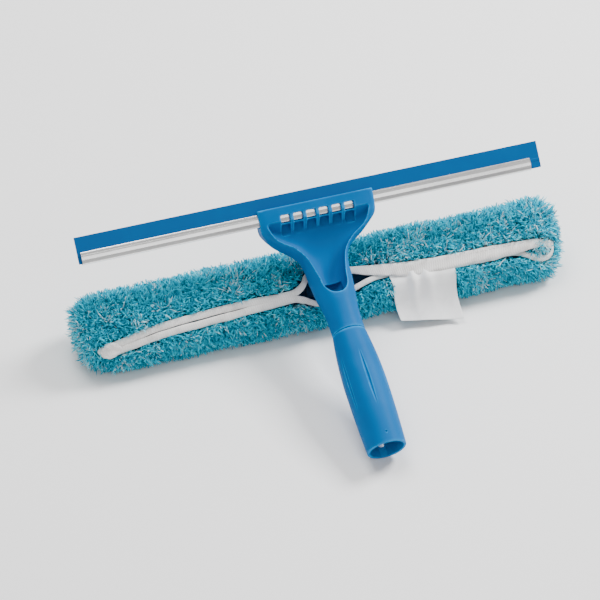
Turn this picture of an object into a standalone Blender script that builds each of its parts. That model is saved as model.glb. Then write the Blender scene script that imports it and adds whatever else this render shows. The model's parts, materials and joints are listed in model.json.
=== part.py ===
"""Window cleaning squeegee with a microfibre washer sleeve on a T-bar behind it.

Units are metres and +Z is up.  The tool lies on its back, on its sleeve and on the open end of its handle.

Three frames carry the pieces, each one an empty:
- tool_frame: X along the blade, Y up the handle axis from its open end, Z out of the handle's front;
- blade_frame: on the middle of the aluminium channel, Y up the blade, Z out of its front;
- washer_frame: on the middle of the T-bar, Z along the stem towards the handle.
"""
import math

import bmesh
import bpy
from mathutils import Matrix, Vector

# ---------------------------------------------------------------- driving dimensions
CLEARANCE = 0.0003               # gap between pieces that touch

# grip: a turned shell with a pole socket
GRIP_LENGTH = 0.0940
GRIP_END_RADIUS = 0.01440
GRIP_BELLY_RADIUS = 0.01570
GRIP_BELLY_STATION = 0.050
SOCKET_WALL = 0.0020             # wall at the open end
SOCKET_DEPTH = 0.066
SOCKET_SHOULDER = 0.006          # length of the cone between socket and spigot bore
LOCK_HOLE_DIAMETER = 0.0050
LOCK_HOLE_STATION = 0.010
DIMPLE_DIAMETER = 0.0016
DIMPLE_STATION = 0.008
GROOVE_COUNT = 6
GROOVE_START = 0.029
GROOVE_END = 0.075
GROOVE_WIDTH = 0.0018
GROOVE_DEPTH = 0.0011

# neck and head: one moulding
NECK_RADIUS = 0.0122             # at the seam with the grip
NECK_SPREAD = 0.0036             # how much wider the neck is beside the trough
SPIGOT_LENGTH = 0.023
SPIGOT_WALL = 0.0027             # grip wall left outside the spigot
HEAD_WIDTH = 0.0875
HEAD_FRONT_WALL = 0.0026         # plate over the channel
HEAD_BACK_WALL = 0.0044
HEAD_TOP_RISE = 0.0026           # head above the channel's top edge
TROUGH_START = 0.0285            # from the seam to the rounded end of the trough
TROUGH_HALF_WIDTH = 0.0092
TROUGH_END_LENGTH = 0.0125       # length of its rounded end
TROUGH_FLOOR = -0.0030           # floor's height on the handle axis, in the neck
RIM_WALL = 0.0086                # rim beside the trough's widest place
CORE_RADIUS = 0.0070             # hollow inside the neck
CORE_END = 0.0423                # from the seam to where the hollow ends in the trough

# windows that show the channel through the head's plate
WINDOW_COUNT = 6
WINDOW_WIDTH = 0.0070
WINDOW_RIB = 0.00265
WINDOW_TOP_DROP = 0.0064         # plate above the windows
WINDOW_SHELF = 0.0010            # plate left between the channel's slot and the bays
BAY_FOOT = -0.0138               # lower end of the bays between the ribs, below the channel's middle
BAY_FLOOR = -0.0030              # their floor, behind the channel's middle
SPRING_SEAT_HALF = 0.0035        # half height of the spring's pocket
MOUTH_ROOM = 0.0008              # room on each side of the rubber

# blade: aluminium channel and rubber
BLADE_LEAN = math.radians(25.0)  # blade leans to the front of the handle axis
CHANNEL_STATION = 0.0922         # channel's middle above the seam, along the handle
CHANNEL_FORWARD = 0.0208         # channel's middle in front of the handle axis
CHANNEL_LENGTH = 0.340
CHANNEL_HEIGHT = 0.0092
CHANNEL_THICKNESS = 0.0055
CHANNEL_WALL = 0.0011
CHANNEL_OFFSET = -0.0051         # channel's middle from the head's middle
RUBBER_OVERHANG = 0.0050         # rubber past the channel, as the mean of its two ends
RUBBER_THICKNESS = 0.0020
RUBBER_RISE = 0.0112             # rubber above the channel
RUBBER_OFFSET = -0.0023
BEAD_HEIGHT = 0.0026
SPRING_LENGTH = 0.034
SPRING_HEIGHT = 0.0060
SPRING_THICKNESS = 0.0005
SPRING_BOW = 0.0009
SPRING_SIDE_ROOM = 0.0010

# washer: T-bar, stem, sleeve
WASHER_STATION = 0.0590          # T-bar's middle above the seam
WASHER_GAP = 0.00185             # between the sleeve and the handle's back
WASHER_TILT = math.radians(15.0)
T_BAR_WIDTH = 0.035
T_BAR_THICKNESS = 0.013
T_BAR_WALL = 0.0022
T_BAR_CORNER = 0.0050
FLANGE_LENGTH = 0.026
FLANGE_WIDTH = 0.016
FLANGE_THICKNESS = 0.0030
STEM_WIDTH = 0.0150              # along the blade
STEM_DEPTH = 0.0090
STEM_ENGAGEMENT = 0.0055         # stem inside the handle's socket
NECK_BACK_DEPTH = 0.0170         # handle's back behind its axis, at the stem
SCREW_SPACING = 0.019
SCREW_HEAD_DIAMETER = 0.0050
SCREW_HEAD_HEIGHT = 0.0016
SCREW_SHANK_DIAMETER = 0.0022
SCREW_LENGTH = 0.0042
SLEEVE_LENGTH = 0.362
SLEEVE_MIDDLE = -0.0019
SLEEVE_WALL = 0.0055
SLEEVE_END_ROOM = 0.0160         # sleeve past each end of the T-bar
SLEEVE_SIDE_ROOM = 0.0030        # room inside it beside the T-bar
SLEEVE_FACE_ROOM = 0.0065        # room inside it before and behind the T-bar
SLIT_MARGIN = 0.0090             # sleeve past each end of the slit
SLIT_OPENING = 0.0070            # half of the gap that the stem goes through
SLIT_SPREAD = 0.026              # how far along the blade that gap reaches
SLIT_EASE = 0.0016               # room between the binding and the fabric
BINDING_WIDTH = 0.0060
BINDING_THICKNESS = 0.0028
STRIP_LENGTH = 0.095
STRIP_WIDTH = 0.0052
STRIP_THICKNESS = 0.0007
STRIP_MIDDLE = 0.100
LABEL_WIDTH = 0.047
LABEL_MIDDLE = 0.074
LABEL_THICKNESS = 0.0008
LABEL_START_ANGLE = math.radians(30.0)
LABEL_LEAVE_ANGLE = math.radians(47.0)
LABEL_FREE_LENGTH = 0.025        # part that stands clear of the sleeve
LABEL_CURL = math.radians(46.0)  # how far that part bends outwards
LABEL_STAND_OFF = 0.0016

# ---------------------------------------------------------------- worked out from them
RUBBER_LENGTH = CHANNEL_LENGTH + 2 * RUBBER_OVERHANG
T_BAR_LENGTH = SLEEVE_LENGTH - 2 * SLEEVE_END_ROOM
SLIT_LENGTH = SLEEVE_LENGTH - 2 * SLIT_MARGIN
SLEEVE_HALF_WIDTH = T_BAR_WIDTH / 2 + SLEEVE_WALL + SLEEVE_SIDE_ROOM
SLEEVE_HALF_DEPTH = T_BAR_THICKNESS / 2 + SLEEVE_WALL + SLEEVE_FACE_ROOM
WASHER_BEHIND = NECK_BACK_DEPTH + SLEEVE_HALF_DEPTH / math.cos(WASHER_TILT) + WASHER_GAP
CHANNEL_Y = GRIP_LENGTH + CHANNEL_STATION
WASHER_Y = GRIP_LENGTH + WASHER_STATION
HEAD_TOP = CHANNEL_HEIGHT / 2 + HEAD_TOP_RISE
SLOT_HALF = CHANNEL_THICKNESS / 2 + CLEARANCE
HEAD_FRONT = SLOT_HALF + HEAD_FRONT_WALL
HEAD_BACK = -(SLOT_HALF + HEAD_BACK_WALL)
SPIGOT_RADIUS = NECK_RADIUS - SPIGOT_WALL - CLEARANCE
SOCKET_RADIUS = GRIP_END_RADIUS - SOCKET_WALL
WINDOW_PITCH = WINDOW_WIDTH + WINDOW_RIB
WINDOW_TOP = HEAD_TOP - WINDOW_TOP_DROP
RING_POINTS = 36


# ---------------------------------------------------------------- scene helpers
def clear_scene():
    """Remove every object and leftover collection."""
    for item in list(bpy.data.objects):
        bpy.data.objects.remove(item, do_unlink=True)
    for collection in list(bpy.data.collections):
        bpy.data.collections.remove(collection)


def new_collection(name):
    """Make a collection under the scene's own."""
    collection = bpy.data.collections.new(name)
    bpy.context.scene.collection.children.link(collection)
    return collection


def principled(name, colour, roughness, metallic=0.0):
    """Make a plain Principled material."""
    material = bpy.data.materials.new(name)
    material.use_nodes = True
    shader = material.node_tree.nodes["Principled BSDF"]
    shader.inputs["Base Color"].default_value = (*colour, 1.0)
    shader.inputs["Roughness"].default_value = roughness
    shader.inputs["Metallic"].default_value = metallic
    return material


def add_frame(name, parent=None, location=(0.0, 0.0, 0.0), tilt=0.0):
    """Make an empty, turned about X."""
    frame = bpy.data.objects.new(name, None)
    frame.empty_display_size = 0.02
    frame.location = location
    frame.rotation_euler = (tilt, 0.0, 0.0)
    frame.parent = parent
    bpy.context.scene.collection.objects.link(frame)
    return frame


def add_object(name, data, collection, parent, material=None, location=(0.0, 0.0, 0.0),
               rotation=(0.0, 0.0, 0.0)):
    """Link a mesh or curve as a named object under a frame."""
    item = bpy.data.objects.new(name, data)
    item.location = location
    item.rotation_euler = rotation
    item.parent = parent
    collection.objects.link(item)
    if material is not None:
        data.materials.append(material)
    return item


def smooth(item, angle=math.radians(35.0)):
    """Shade a mesh smooth, with its corners kept sharp."""
    item.data.shade_smooth()
    item.data.set_sharp_from_angle(angle=angle)


def cut(target, cutter):
    """Take the cutter's shape out of the target."""
    cutter.hide_render = True
    cutter.display_type = "WIRE"
    step = target.modifiers.new("cut_" + cutter.name, "BOOLEAN")
    step.operation = "DIFFERENCE"
    step.solver = "EXACT"
    step.object = cutter


def bevel_edges(item, width, segments=2):
    """Round the edges of a box-like piece."""
    step = item.modifiers.new("rounded_edges", "BEVEL")
    step.width = width
    step.segments = segments
    step.limit_method = "ANGLE"
    step.angle_limit = math.radians(40.0)


# ---------------------------------------------------------------- mesh helpers
def box_mesh(name, boxes):
    """Make one mesh of separate boxes, each given as its lowest and highest corner."""
    mesh = bpy.data.meshes.new(name)
    shape = bmesh.new()
    for low, high in boxes:
        middle = [(a + b) / 2 for a, b in zip(low, high)]
        size = [b - a for a, b in zip(low, high)]
        place = Matrix.Translation(middle) @ Matrix.Diagonal((*size, 1.0))
        bmesh.ops.create_cube(shape, size=1.0, matrix=place)
    shape.to_mesh(mesh)
    shape.free()
    return mesh


def cylinder_mesh(name, radius, low, high, segments=32):
    """Make a cylinder along Z."""
    mesh = bpy.data.meshes.new(name)
    shape = bmesh.new()
    place = Matrix.Translation((0.0, 0.0, (low + high) / 2))
    bmesh.ops.create_cone(shape, cap_ends=True, segments=segments, radius1=radius, radius2=radius,
                          depth=high - low, matrix=place)
    shape.to_mesh(mesh)
    shape.free()
    return mesh


def loft_mesh(name, rings, closed_path=False):
    """Join rings of points into one skin, with its two ends capped unless the path closes on itself."""
    mesh = bpy.data.meshes.new(name)
    shape = bmesh.new()
    loops = [[shape.verts.new(point) for point in ring] for ring in rings]
    count = len(rings[0])
    following = loops[1:] + loops[:1] if closed_path else loops[1:]
    for first, second in zip(loops, following):
        for i in range(count):
            j = (i + 1) % count
            shape.faces.new((first[i], first[j], second[j], second[i]))
    if not closed_path:
        shape.faces.new(list(reversed(loops[0])))
        shape.faces.new(loops[-1])
    bmesh.ops.recalc_face_normals(shape, faces=shape.faces)
    shape.to_mesh(mesh)
    shape.free()
    return mesh


def outline_object(name, points, length, collection, parent, material, middle=0.0):
    """Extrude a flat outline of (Y, Z) points along X, centred on middle."""
    curve = bpy.data.curves.new(name + "_outline", "CURVE")
    curve.dimensions = "2D"
    curve.fill_mode = "BOTH"
    curve.extrude = length / 2
    spline = curve.splines.new("POLY")
    spline.points.add(len(points) - 1)
    for point, (y, z) in zip(spline.points, points):
        point.co = (y, z, 0.0, 1.0)
    spline.use_cyclic_u = True
    outline = bpy.data.objects.new(name + "_outline", curve)
    collection.objects.link(outline)
    bpy.context.view_layer.update()
    graph = bpy.context.evaluated_depsgraph_get()
    mesh = bpy.data.meshes.new_from_object(outline.evaluated_get(graph))
    bpy.data.objects.remove(outline, do_unlink=True)
    shape = bmesh.new()
    shape.from_mesh(mesh)
    bmesh.ops.remove_doubles(shape, verts=shape.verts, dist=1e-6)
    onto_x = Matrix(((0, 0, 1, 0), (1, 0, 0, 0), (0, 1, 0, 0), (0, 0, 0, 1)))
    bmesh.ops.transform(shape, verts=shape.verts, matrix=onto_x)
    bmesh.ops.recalc_face_normals(shape, faces=shape.faces)
    shape.to_mesh(mesh)
    shape.free()
    mesh.name = name
    return add_object(name, mesh, collection, parent, material, location=(middle, 0.0, 0.0))


def turned_object(name, profile, collection, parent, material, closed, steps=40, **place):
    """Turn a profile of (radius, height) points, top to bottom on its outer side, about Z."""
    mesh = bpy.data.meshes.new(name)
    shape = bmesh.new()
    points = [shape.verts.new((radius, 0.0, height)) for radius, height in profile]
    for first, second in zip(points, points[1:]):
        shape.edges.new((first, second))
    if closed:
        shape.edges.new((points[-1], points[0]))
    shape.to_mesh(mesh)
    shape.free()
    item = add_object(name, mesh, collection, parent, material, **place)
    turn = item.modifiers.new("turn", "SCREW")
    turn.axis = "Z"
    turn.steps = steps
    turn.render_steps = steps
    turn.use_merge_vertices = True
    turn.merge_threshold = 1e-6
    return item


def smooth_curve(keys, position):
    """Read a curve through (position, value) keys, flat past its ends and never beyond its keys."""
    if position <= keys[0][0]:
        return keys[0][1]
    for (low, first), (high, second) in zip(keys, keys[1:]):
        if position <= high:
            part = (position - low) / (high - low)
            ease = part * part * (3 - 2 * part)
            return first + (second - first) * ease
    return keys[-1][1]


def spline_rows(rows, steps):
    """Fill rows of numbers with a Catmull-Rom curve, so many steps between each two rows."""
    filled = []
    for index in range(len(rows) - 1):
        before = rows[max(index - 1, 0)]
        first = rows[index]
        second = rows[index + 1]
        after = rows[min(index + 2, len(rows) - 1)]
        for step in range(steps):
            t = step / steps
            row = []
            for a, b, c, d in zip(before, first, second, after):
                slope_in = (c - a) / 2
                slope_out = (d - b) / 2
                value = ((2 * t ** 3 - 3 * t ** 2 + 1) * b + (t ** 3 - 2 * t ** 2 + t) * slope_in
                         + (-2 * t ** 3 + 3 * t ** 2) * c + (t ** 3 - t ** 2) * slope_out)
                row.append(value)
            filled.append(tuple(row))
    filled.append(tuple(rows[-1]))
    return filled


# ---------------------------------------------------------------- frames
def blade_point(up, front):
    """Give the tool frame's (Y, Z) of a point in the blade's frame."""
    y = CHANNEL_Y + up * math.cos(BLADE_LEAN) - front * math.sin(BLADE_LEAN)
    z = CHANNEL_FORWARD + up * math.sin(BLADE_LEAN) + front * math.cos(BLADE_LEAN)
    return y, z


def sleeve_low_point(tilt):
    """Height of the sleeve's lowest point below the handle axis origin when the tool leans by tilt."""
    middle = WASHER_Y * math.sin(tilt) - WASHER_BEHIND * math.cos(tilt)
    lean = tilt + WASHER_TILT
    reach = math.hypot(SLEEVE_HALF_WIDTH * math.sin(lean), SLEEVE_HALF_DEPTH * math.cos(lean))
    return middle - reach


def resting_tilt():
    """Lean of the handle at which the sleeve and the handle's open end touch the table together."""
    low = 0.0
    high = math.radians(60.0)
    for _ in range(60):
        tilt = (low + high) / 2
        if sleeve_low_point(tilt) < -GRIP_END_RADIUS * math.cos(tilt):
            low = tilt
        else:
            high = tilt
    return (low + high) / 2


# ---------------------------------------------------------------- grip
def grip_radius(station):
    """Outer radius of the grip at a distance from its open end."""
    if station <= GRIP_BELLY_STATION:
        part = 1.0 - station / GRIP_BELLY_STATION
        return GRIP_BELLY_RADIUS - (GRIP_BELLY_RADIUS - GRIP_END_RADIUS) * part ** 2
    part = (station - GRIP_BELLY_STATION) / (GRIP_LENGTH - GRIP_BELLY_STATION)
    return GRIP_BELLY_RADIUS - (GRIP_BELLY_RADIUS - NECK_RADIUS) * part ** 1.9


def build_grip(collection, cutters, frame, material):
    """Turned shell of the grip, with its pole socket, grooves, lock hole and dimple."""
    edge = 0.0008
    bore = SPIGOT_RADIUS + CLEARANCE
    rows = 14
    outer = [(grip_radius(GRIP_LENGTH * i / rows), GRIP_LENGTH * i / rows) for i in range(rows, 0, -1)]
    outer[0] = (NECK_RADIUS, GRIP_LENGTH - CLEARANCE)
    profile = outer + [
        (GRIP_END_RADIUS, edge),
        (GRIP_END_RADIUS - edge / 2, 0.0),
        (SOCKET_RADIUS + edge / 2, 0.0),
        (SOCKET_RADIUS, edge),
        (SOCKET_RADIUS, SOCKET_DEPTH),
        (bore, SOCKET_DEPTH + SOCKET_SHOULDER),
        (bore, GRIP_LENGTH - CLEARANCE),
    ]
    grip = turned_object("grip_shell", profile, collection, frame, material, closed=True,
                         rotation=(-math.pi / 2, 0.0, 0.0))
    smooth(grip)
    hole = cylinder_mesh("lock_hole", LOCK_HOLE_DIAMETER / 2, -0.03, -SOCKET_RADIUS * 0.6, segments=20)
    cut(grip, add_object("lock_hole", hole, cutters, frame, location=(0.0, LOCK_HOLE_STATION, 0.0)))
    dimple_depth = 0.0005
    level = grip_radius(DIMPLE_STATION)
    dimple = cylinder_mesh("dimple", DIMPLE_DIAMETER / 2, level - dimple_depth, level + 0.002, segments=10)
    cut(grip, add_object("dimple", dimple, cutters, frame, location=(0.0, DIMPLE_STATION, 0.0)))
    cut(grip, grip_groove_cutter(cutters, frame))
    return grip


def grip_groove_cutter(cutters, frame):
    """Long thin lens shapes round the grip, that leave its finger grooves."""
    mesh = bpy.data.meshes.new("grip_grooves")
    shape = bmesh.new()
    middle = (GROOVE_START + GROOVE_END) / 2
    half = (GROOVE_END - GROOVE_START) / 2
    for index in range(GROOVE_COUNT):
        angle = math.tau * index / GROOVE_COUNT
        place = (Matrix.Rotation(angle, 4, "Y") @ Matrix.Translation((0.0, middle, grip_radius(middle)))
                 @ Matrix.Diagonal((GROOVE_WIDTH / 2, half, GROOVE_DEPTH, 1.0)))
        bmesh.ops.create_uvsphere(shape, u_segments=6, v_segments=6, radius=1.0,
                                  matrix=place @ Matrix.Rotation(math.pi / 2, 4, "X"))
    shape.to_mesh(mesh)
    shape.free()
    return add_object("grip_grooves", mesh, cutters, frame)


# ---------------------------------------------------------------- head
def super_ring(front, back, half_width, power, count=RING_POINTS):
    """Closed ring in the plane of X and the line from back to front, between ellipse and rectangle."""
    middle = ((front[0] + back[0]) / 2, (front[1] + back[1]) / 2)
    reach = ((front[0] - back[0]) / 2, (front[1] - back[1]) / 2)
    ring = []
    for index in range(count):
        angle = math.tau * (index + 0.5) / count
        across = math.copysign(abs(math.cos(angle)) ** (2 / power), math.cos(angle))
        along = math.copysign(abs(math.sin(angle)) ** (2 / power), math.sin(angle))
        ring.append((half_width * across, middle[0] + reach[0] * along, middle[1] + reach[1] * along))
    return ring


def head_rows():
    """Stations up the neck and head: front Y and Z, back Y and Z, half width, squareness."""
    seam = GRIP_LENGTH
    neck = NECK_RADIUS
    back = NECK_BACK_DEPTH
    full = neck + NECK_SPREAD
    wide = HEAD_WIDTH / 2
    flare = wide - full
    rows = [
        (seam, neck, seam, -neck, neck, 2.0),
        (seam + 0.011, neck, seam + 0.011, -neck - 0.0002, neck, 2.0),
        (seam + 0.020, neck + 0.0003, seam + 0.022, -neck - 0.0014, neck + 0.0008, 2.0),
        (seam + 0.0285, neck + 0.0008, seam + 0.033, -back + 0.0012, neck + 0.0022, 2.1),
        (seam + 0.042, neck + 0.0012, seam + 0.048, -back, full, 2.2),
    ]
    head = [
        (-0.0382, 0.0109, -0.0459, -0.0195, 0.02, 2.4),
        (-0.0304, 0.0086, -0.0376, -0.0205, 0.10, 2.7),
        (-0.0244, 0.0072, -0.0314, -0.0192, 0.30, 3.0),
        (-0.0178, 0.0062, -0.0232, -0.0180, 0.66, 3.6),
        (-0.0118, HEAD_FRONT, -0.0118, -0.0155, 0.94, 5.0),
        (-0.0045, HEAD_FRONT, -0.0045, -0.0110, 0.996, 9.0),
        (HEAD_TOP, HEAD_FRONT, HEAD_TOP, HEAD_BACK, 1.0, 12.0),
    ]
    for front_up, front_out, back_up, back_out, share, power in head:
        front_point = blade_point(front_up, front_out)
        back_point = blade_point(back_up, back_out)
        rows.append((*front_point, *back_point, full + flare * share, power))
    return rows


def trough_rows():
    """Stations up the trough: floor Y and Z, a point in front of the rim, half width."""
    start = GRIP_LENGTH + TROUGH_START
    half = TROUGH_HALF_WIDTH
    floor = TROUGH_FLOOR
    above = 0.045
    rows = []
    turns = 5
    for index in range(1, turns + 1):
        angle = math.pi / 2 * index / turns
        station = start + TROUGH_END_LENGTH * (1 - math.cos(angle))
        rows.append((station, floor, station, above, half * math.sin(angle)))
    wide = HEAD_WIDTH / 2 - RIM_WALL
    spread = wide - half
    y = CHANNEL_Y
    rows.append((y - 0.0460, floor, y - 0.0470, above, half + spread * 0.03))
    rows.append((y - 0.0375, floor + 0.0015, y - 0.0395, above, half + spread * 0.08))
    rows.append((y - 0.0295, floor + 0.0040, y - 0.0325, above, half + spread * 0.155))
    rows.append((y - 0.0220, floor + 0.0075, y - 0.0250, above, half + spread * 0.33))
    rows.append((y - 0.0155, floor + 0.0115, y - 0.0185, above, half + spread * 0.62))
    rows.append((*blade_point(-0.0125, -0.0030), *blade_point(0.0075, 0.0163), half + spread * 0.90))
    return rows


def trough_ring(floor, front, half_width, count=20):
    """U-shaped ring: a round-cornered floor with straight sides up to a line in front of the rim."""
    depth = (front[0] - floor[0], front[1] - floor[1])
    ring = []
    squareness = 0.55
    corner_share = 0.22
    for index in range(count + 1):
        angle = math.pi + math.pi * index / count
        across = math.copysign(abs(math.cos(angle)) ** squareness, math.cos(angle))
        drop = abs(math.sin(angle)) ** squareness
        share = corner_share * (1 - drop)
        ring.append((half_width * across, floor[0] + depth[0] * share, floor[1] + depth[1] * share))
    ring.append((half_width, front[0], front[1]))
    ring.append((-half_width, front[0], front[1]))
    return ring


def build_head(collection, cutters, frame, blade_frame, washer_frame, material):
    """Neck, trough, windowed plate and channel slot, with the spigot below and the stem socket behind."""
    spigot_foot = GRIP_LENGTH - SPIGOT_LENGTH
    rings = [
        super_ring((spigot_foot, SPIGOT_RADIUS), (spigot_foot, -SPIGOT_RADIUS), SPIGOT_RADIUS, 2.0),
        super_ring((GRIP_LENGTH, SPIGOT_RADIUS), (GRIP_LENGTH, -SPIGOT_RADIUS), SPIGOT_RADIUS, 2.0),
    ]
    for front_y, front_z, back_y, back_z, half_width, power in spline_rows(head_rows(), 3):
        rings.append(super_ring((front_y, front_z), (back_y, back_z), half_width, power))
    head = add_object("handle_head", loft_mesh("handle_head", rings), collection, frame, material)
    smooth(head)
    trough = []
    for floor_y, floor_z, front_y, front_z, half_width in spline_rows(trough_rows(), 2):
        trough.append(trough_ring((floor_y, floor_z), (front_y, front_z), half_width))
    cut(head, add_object("trough", loft_mesh("trough", trough), cutters, frame))
    core_low = spigot_foot - 0.01
    core = cylinder_mesh("neck_core", CORE_RADIUS, core_low, GRIP_LENGTH + CORE_END, segments=28)
    cut(head, add_object("neck_core", core, cutters, frame, location=(0.0, 0.0, -0.0015),
                         rotation=(-math.pi / 2, 0.0, 0.0)))
    cut_blade_openings(head, cutters, blade_frame)
    cut_windows(head, cutters, blade_frame)
    socket_half_width = STEM_WIDTH / 2 + CLEARANCE
    socket_half_depth = STEM_DEPTH / 2 + CLEARANCE
    socket_foot = stem_top() - 5 * STEM_ENGAGEMENT
    socket = box_mesh("stem_socket", [((-socket_half_width, -socket_half_depth, socket_foot),
                                       (socket_half_width, socket_half_depth, stem_top() + CLEARANCE))])
    cut(head, add_object("stem_socket", socket, cutters, washer_frame))
    return head


def cut_blade_openings(head, cutters, blade_frame):
    """Slot for the channel, mouth for the rubber and pocket for the spring."""
    half_height = CHANNEL_HEIGHT / 2 + CLEARANCE
    reach = HEAD_WIDTH
    slot = box_mesh("channel_slot", [((-reach, -half_height, -SLOT_HALF), (reach, half_height, SLOT_HALF))])
    cut(head, add_object("channel_slot", slot, cutters, blade_frame))
    mouth_half = RUBBER_THICKNESS / 2 + MOUTH_ROOM
    mouth = box_mesh("rubber_mouth", [((-reach, 0.0, -mouth_half), (reach, 2 * HEAD_TOP, mouth_half))])
    cut(head, add_object("rubber_mouth", mouth, cutters, blade_frame))
    spring_half = SPRING_LENGTH / 2 + SPRING_SIDE_ROOM
    pocket_depth = SPRING_THICKNESS + SPRING_BOW + CLEARANCE
    pocket = box_mesh("spring_pocket", [((-spring_half, -SPRING_SEAT_HALF, -SLOT_HALF - pocket_depth),
                                         (spring_half, SPRING_SEAT_HALF, 0.0))])
    cut(head, add_object("spring_pocket", pocket, cutters, blade_frame))


def cut_windows(head, cutters, blade_frame):
    """Windows in front of the channel, and the bays between the ribs below them."""
    half = WINDOW_WIDTH / 2
    shelf = CHANNEL_HEIGHT / 2 + CLEARANCE + WINDOW_SHELF
    overlap = 0.0010
    bite = 0.0004
    clear_front = HEAD_FRONT + 0.015
    windows = []
    bays = []
    for index in range(WINDOW_COUNT):
        x = (index - (WINDOW_COUNT - 1) / 2) * WINDOW_PITCH
        windows.append(((x - half, -shelf - overlap, SLOT_HALF - bite), (x + half, WINDOW_TOP, clear_front)))
        bays.append(((x - half, BAY_FOOT, BAY_FLOOR), (x + half, -shelf, clear_front)))
    cut(head, add_object("windows", box_mesh("windows", windows), cutters, blade_frame))
    cut(head, add_object("window_bays", box_mesh("window_bays", bays), cutters, blade_frame))


# ---------------------------------------------------------------- blade
def channel_outline():
    """Section of the aluminium channel: a C with its lips at the top, open to the rubber."""
    top = CHANNEL_HEIGHT / 2
    side = CHANNEL_THICKNESS / 2
    round_off = 0.0008
    lip = RUBBER_THICKNESS / 2 + CLEARANCE
    inner = side - CHANNEL_WALL
    cavity_floor = top - CHANNEL_WALL - BEAD_HEIGHT - 2 * CLEARANCE
    return [
        (-top + round_off, -side),
        (top - round_off, -side),
        (top, -side + round_off),
        (top, -lip),
        (top - CHANNEL_WALL, -lip),
        (top - CHANNEL_WALL, -inner),
        (cavity_floor, -inner),
        (cavity_floor, inner),
        (top - CHANNEL_WALL, inner),
        (top - CHANNEL_WALL, lip),
        (top, lip),
        (top, side - round_off),
        (top - round_off, side),
        (-top + round_off, side),
        (-top, side - round_off),
        (-top, -side + round_off),
    ]


def rubber_outline():
    """Section of the rubber: a bead that the channel holds, and a flat blade with square edges."""
    top = CHANNEL_HEIGHT / 2
    half = RUBBER_THICKNESS / 2
    bead = CHANNEL_THICKNESS / 2 - CHANNEL_WALL - CLEARANCE
    bead_top = top - CHANNEL_WALL - CLEARANCE
    bead_floor = bead_top - BEAD_HEIGHT
    edge = top + RUBBER_RISE
    relief = 0.0002
    return [
        (bead_floor, -bead + relief * 2),
        (bead_floor + relief * 2, -bead),
        (bead_top, -bead),
        (bead_top, -half),
        (edge - relief, -half),
        (edge, -half + relief),
        (edge, half - relief),
        (edge - relief, half),
        (bead_top, half),
        (bead_top, bead),
        (bead_floor + relief * 2, bead),
        (bead_floor, bead - relief * 2),
    ]


def build_spring(collection, frame, material):
    """Bowed leaf spring in its pocket, which presses the channel against the head's plate."""
    rings = []
    steps = 10
    rear = -SLOT_HALF - SPRING_THICKNESS - SPRING_BOW
    half_height = SPRING_HEIGHT / 2
    for index in range(steps + 1):
        part = index / steps
        x = SPRING_LENGTH * (part - 0.5)
        back = rear + SPRING_BOW * math.sin(math.pi * part)
        front = back + SPRING_THICKNESS
        rings.append([(x, -half_height, back), (x, half_height, back),
                      (x, half_height, front), (x, -half_height, front)])
    return add_object("channel_spring", loft_mesh("channel_spring", rings), collection, frame, material)


# ---------------------------------------------------------------- washer
def neck_back_height():
    """Distance along the stem from the T-bar's middle to the handle's back."""
    return (WASHER_BEHIND - NECK_BACK_DEPTH) / math.cos(WASHER_TILT)


def stem_top():
    """Distance along the stem from the T-bar's middle to the stem's free end."""
    return neck_back_height() + STEM_ENGAGEMENT


def rounded_section(half_width, half_height, corner, steps=4):
    """Points of a rectangle with round corners, as (Y, Z)."""
    points = []
    for index, (sign_y, sign_z) in enumerate(((1, 1), (-1, 1), (-1, -1), (1, -1))):
        for step in range(steps + 1):
            angle = math.pi / 2 * (index + step / steps)
            y = sign_y * (half_width - corner) + corner * math.cos(angle)
            z = sign_z * (half_height - corner) + corner * math.sin(angle)
            points.append((y, z))
    return points


def build_t_bar(collection, cutters, frame, material):
    """Hollow bar inside the sleeve, open at its ends, with holes for the stem's screws."""
    half_width = T_BAR_WIDTH / 2
    half_height = T_BAR_THICKNESS / 2
    bar = outline_object("t_bar", rounded_section(half_width, half_height, T_BAR_CORNER), T_BAR_LENGTH,
                         collection, frame, material)
    smooth(bar)
    inside = rounded_section(half_width - T_BAR_WALL, half_height - T_BAR_WALL, T_BAR_CORNER - T_BAR_WALL)
    cut(bar, outline_object("t_bar_hollow", inside, T_BAR_LENGTH * 2, cutters, frame, None))
    for side, offset in (("left", -SCREW_SPACING / 2), ("right", SCREW_SPACING / 2)):
        shank = cylinder_mesh("screw_hole_" + side, SCREW_SHANK_DIAMETER / 2 + CLEARANCE, 0.0, 0.02, segments=16)
        cut(bar, add_object("screw_hole_" + side, shank, cutters, frame, location=(offset, 0.0, 0.0)))
        access = cylinder_mesh("screw_access_" + side, SCREW_HEAD_DIAMETER / 2 + 0.0008, -0.02, 0.0, segments=20)
        cut(bar, add_object("screw_access_" + side, access, cutters, frame, location=(offset, 0.0, 0.0)))
    return bar


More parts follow.
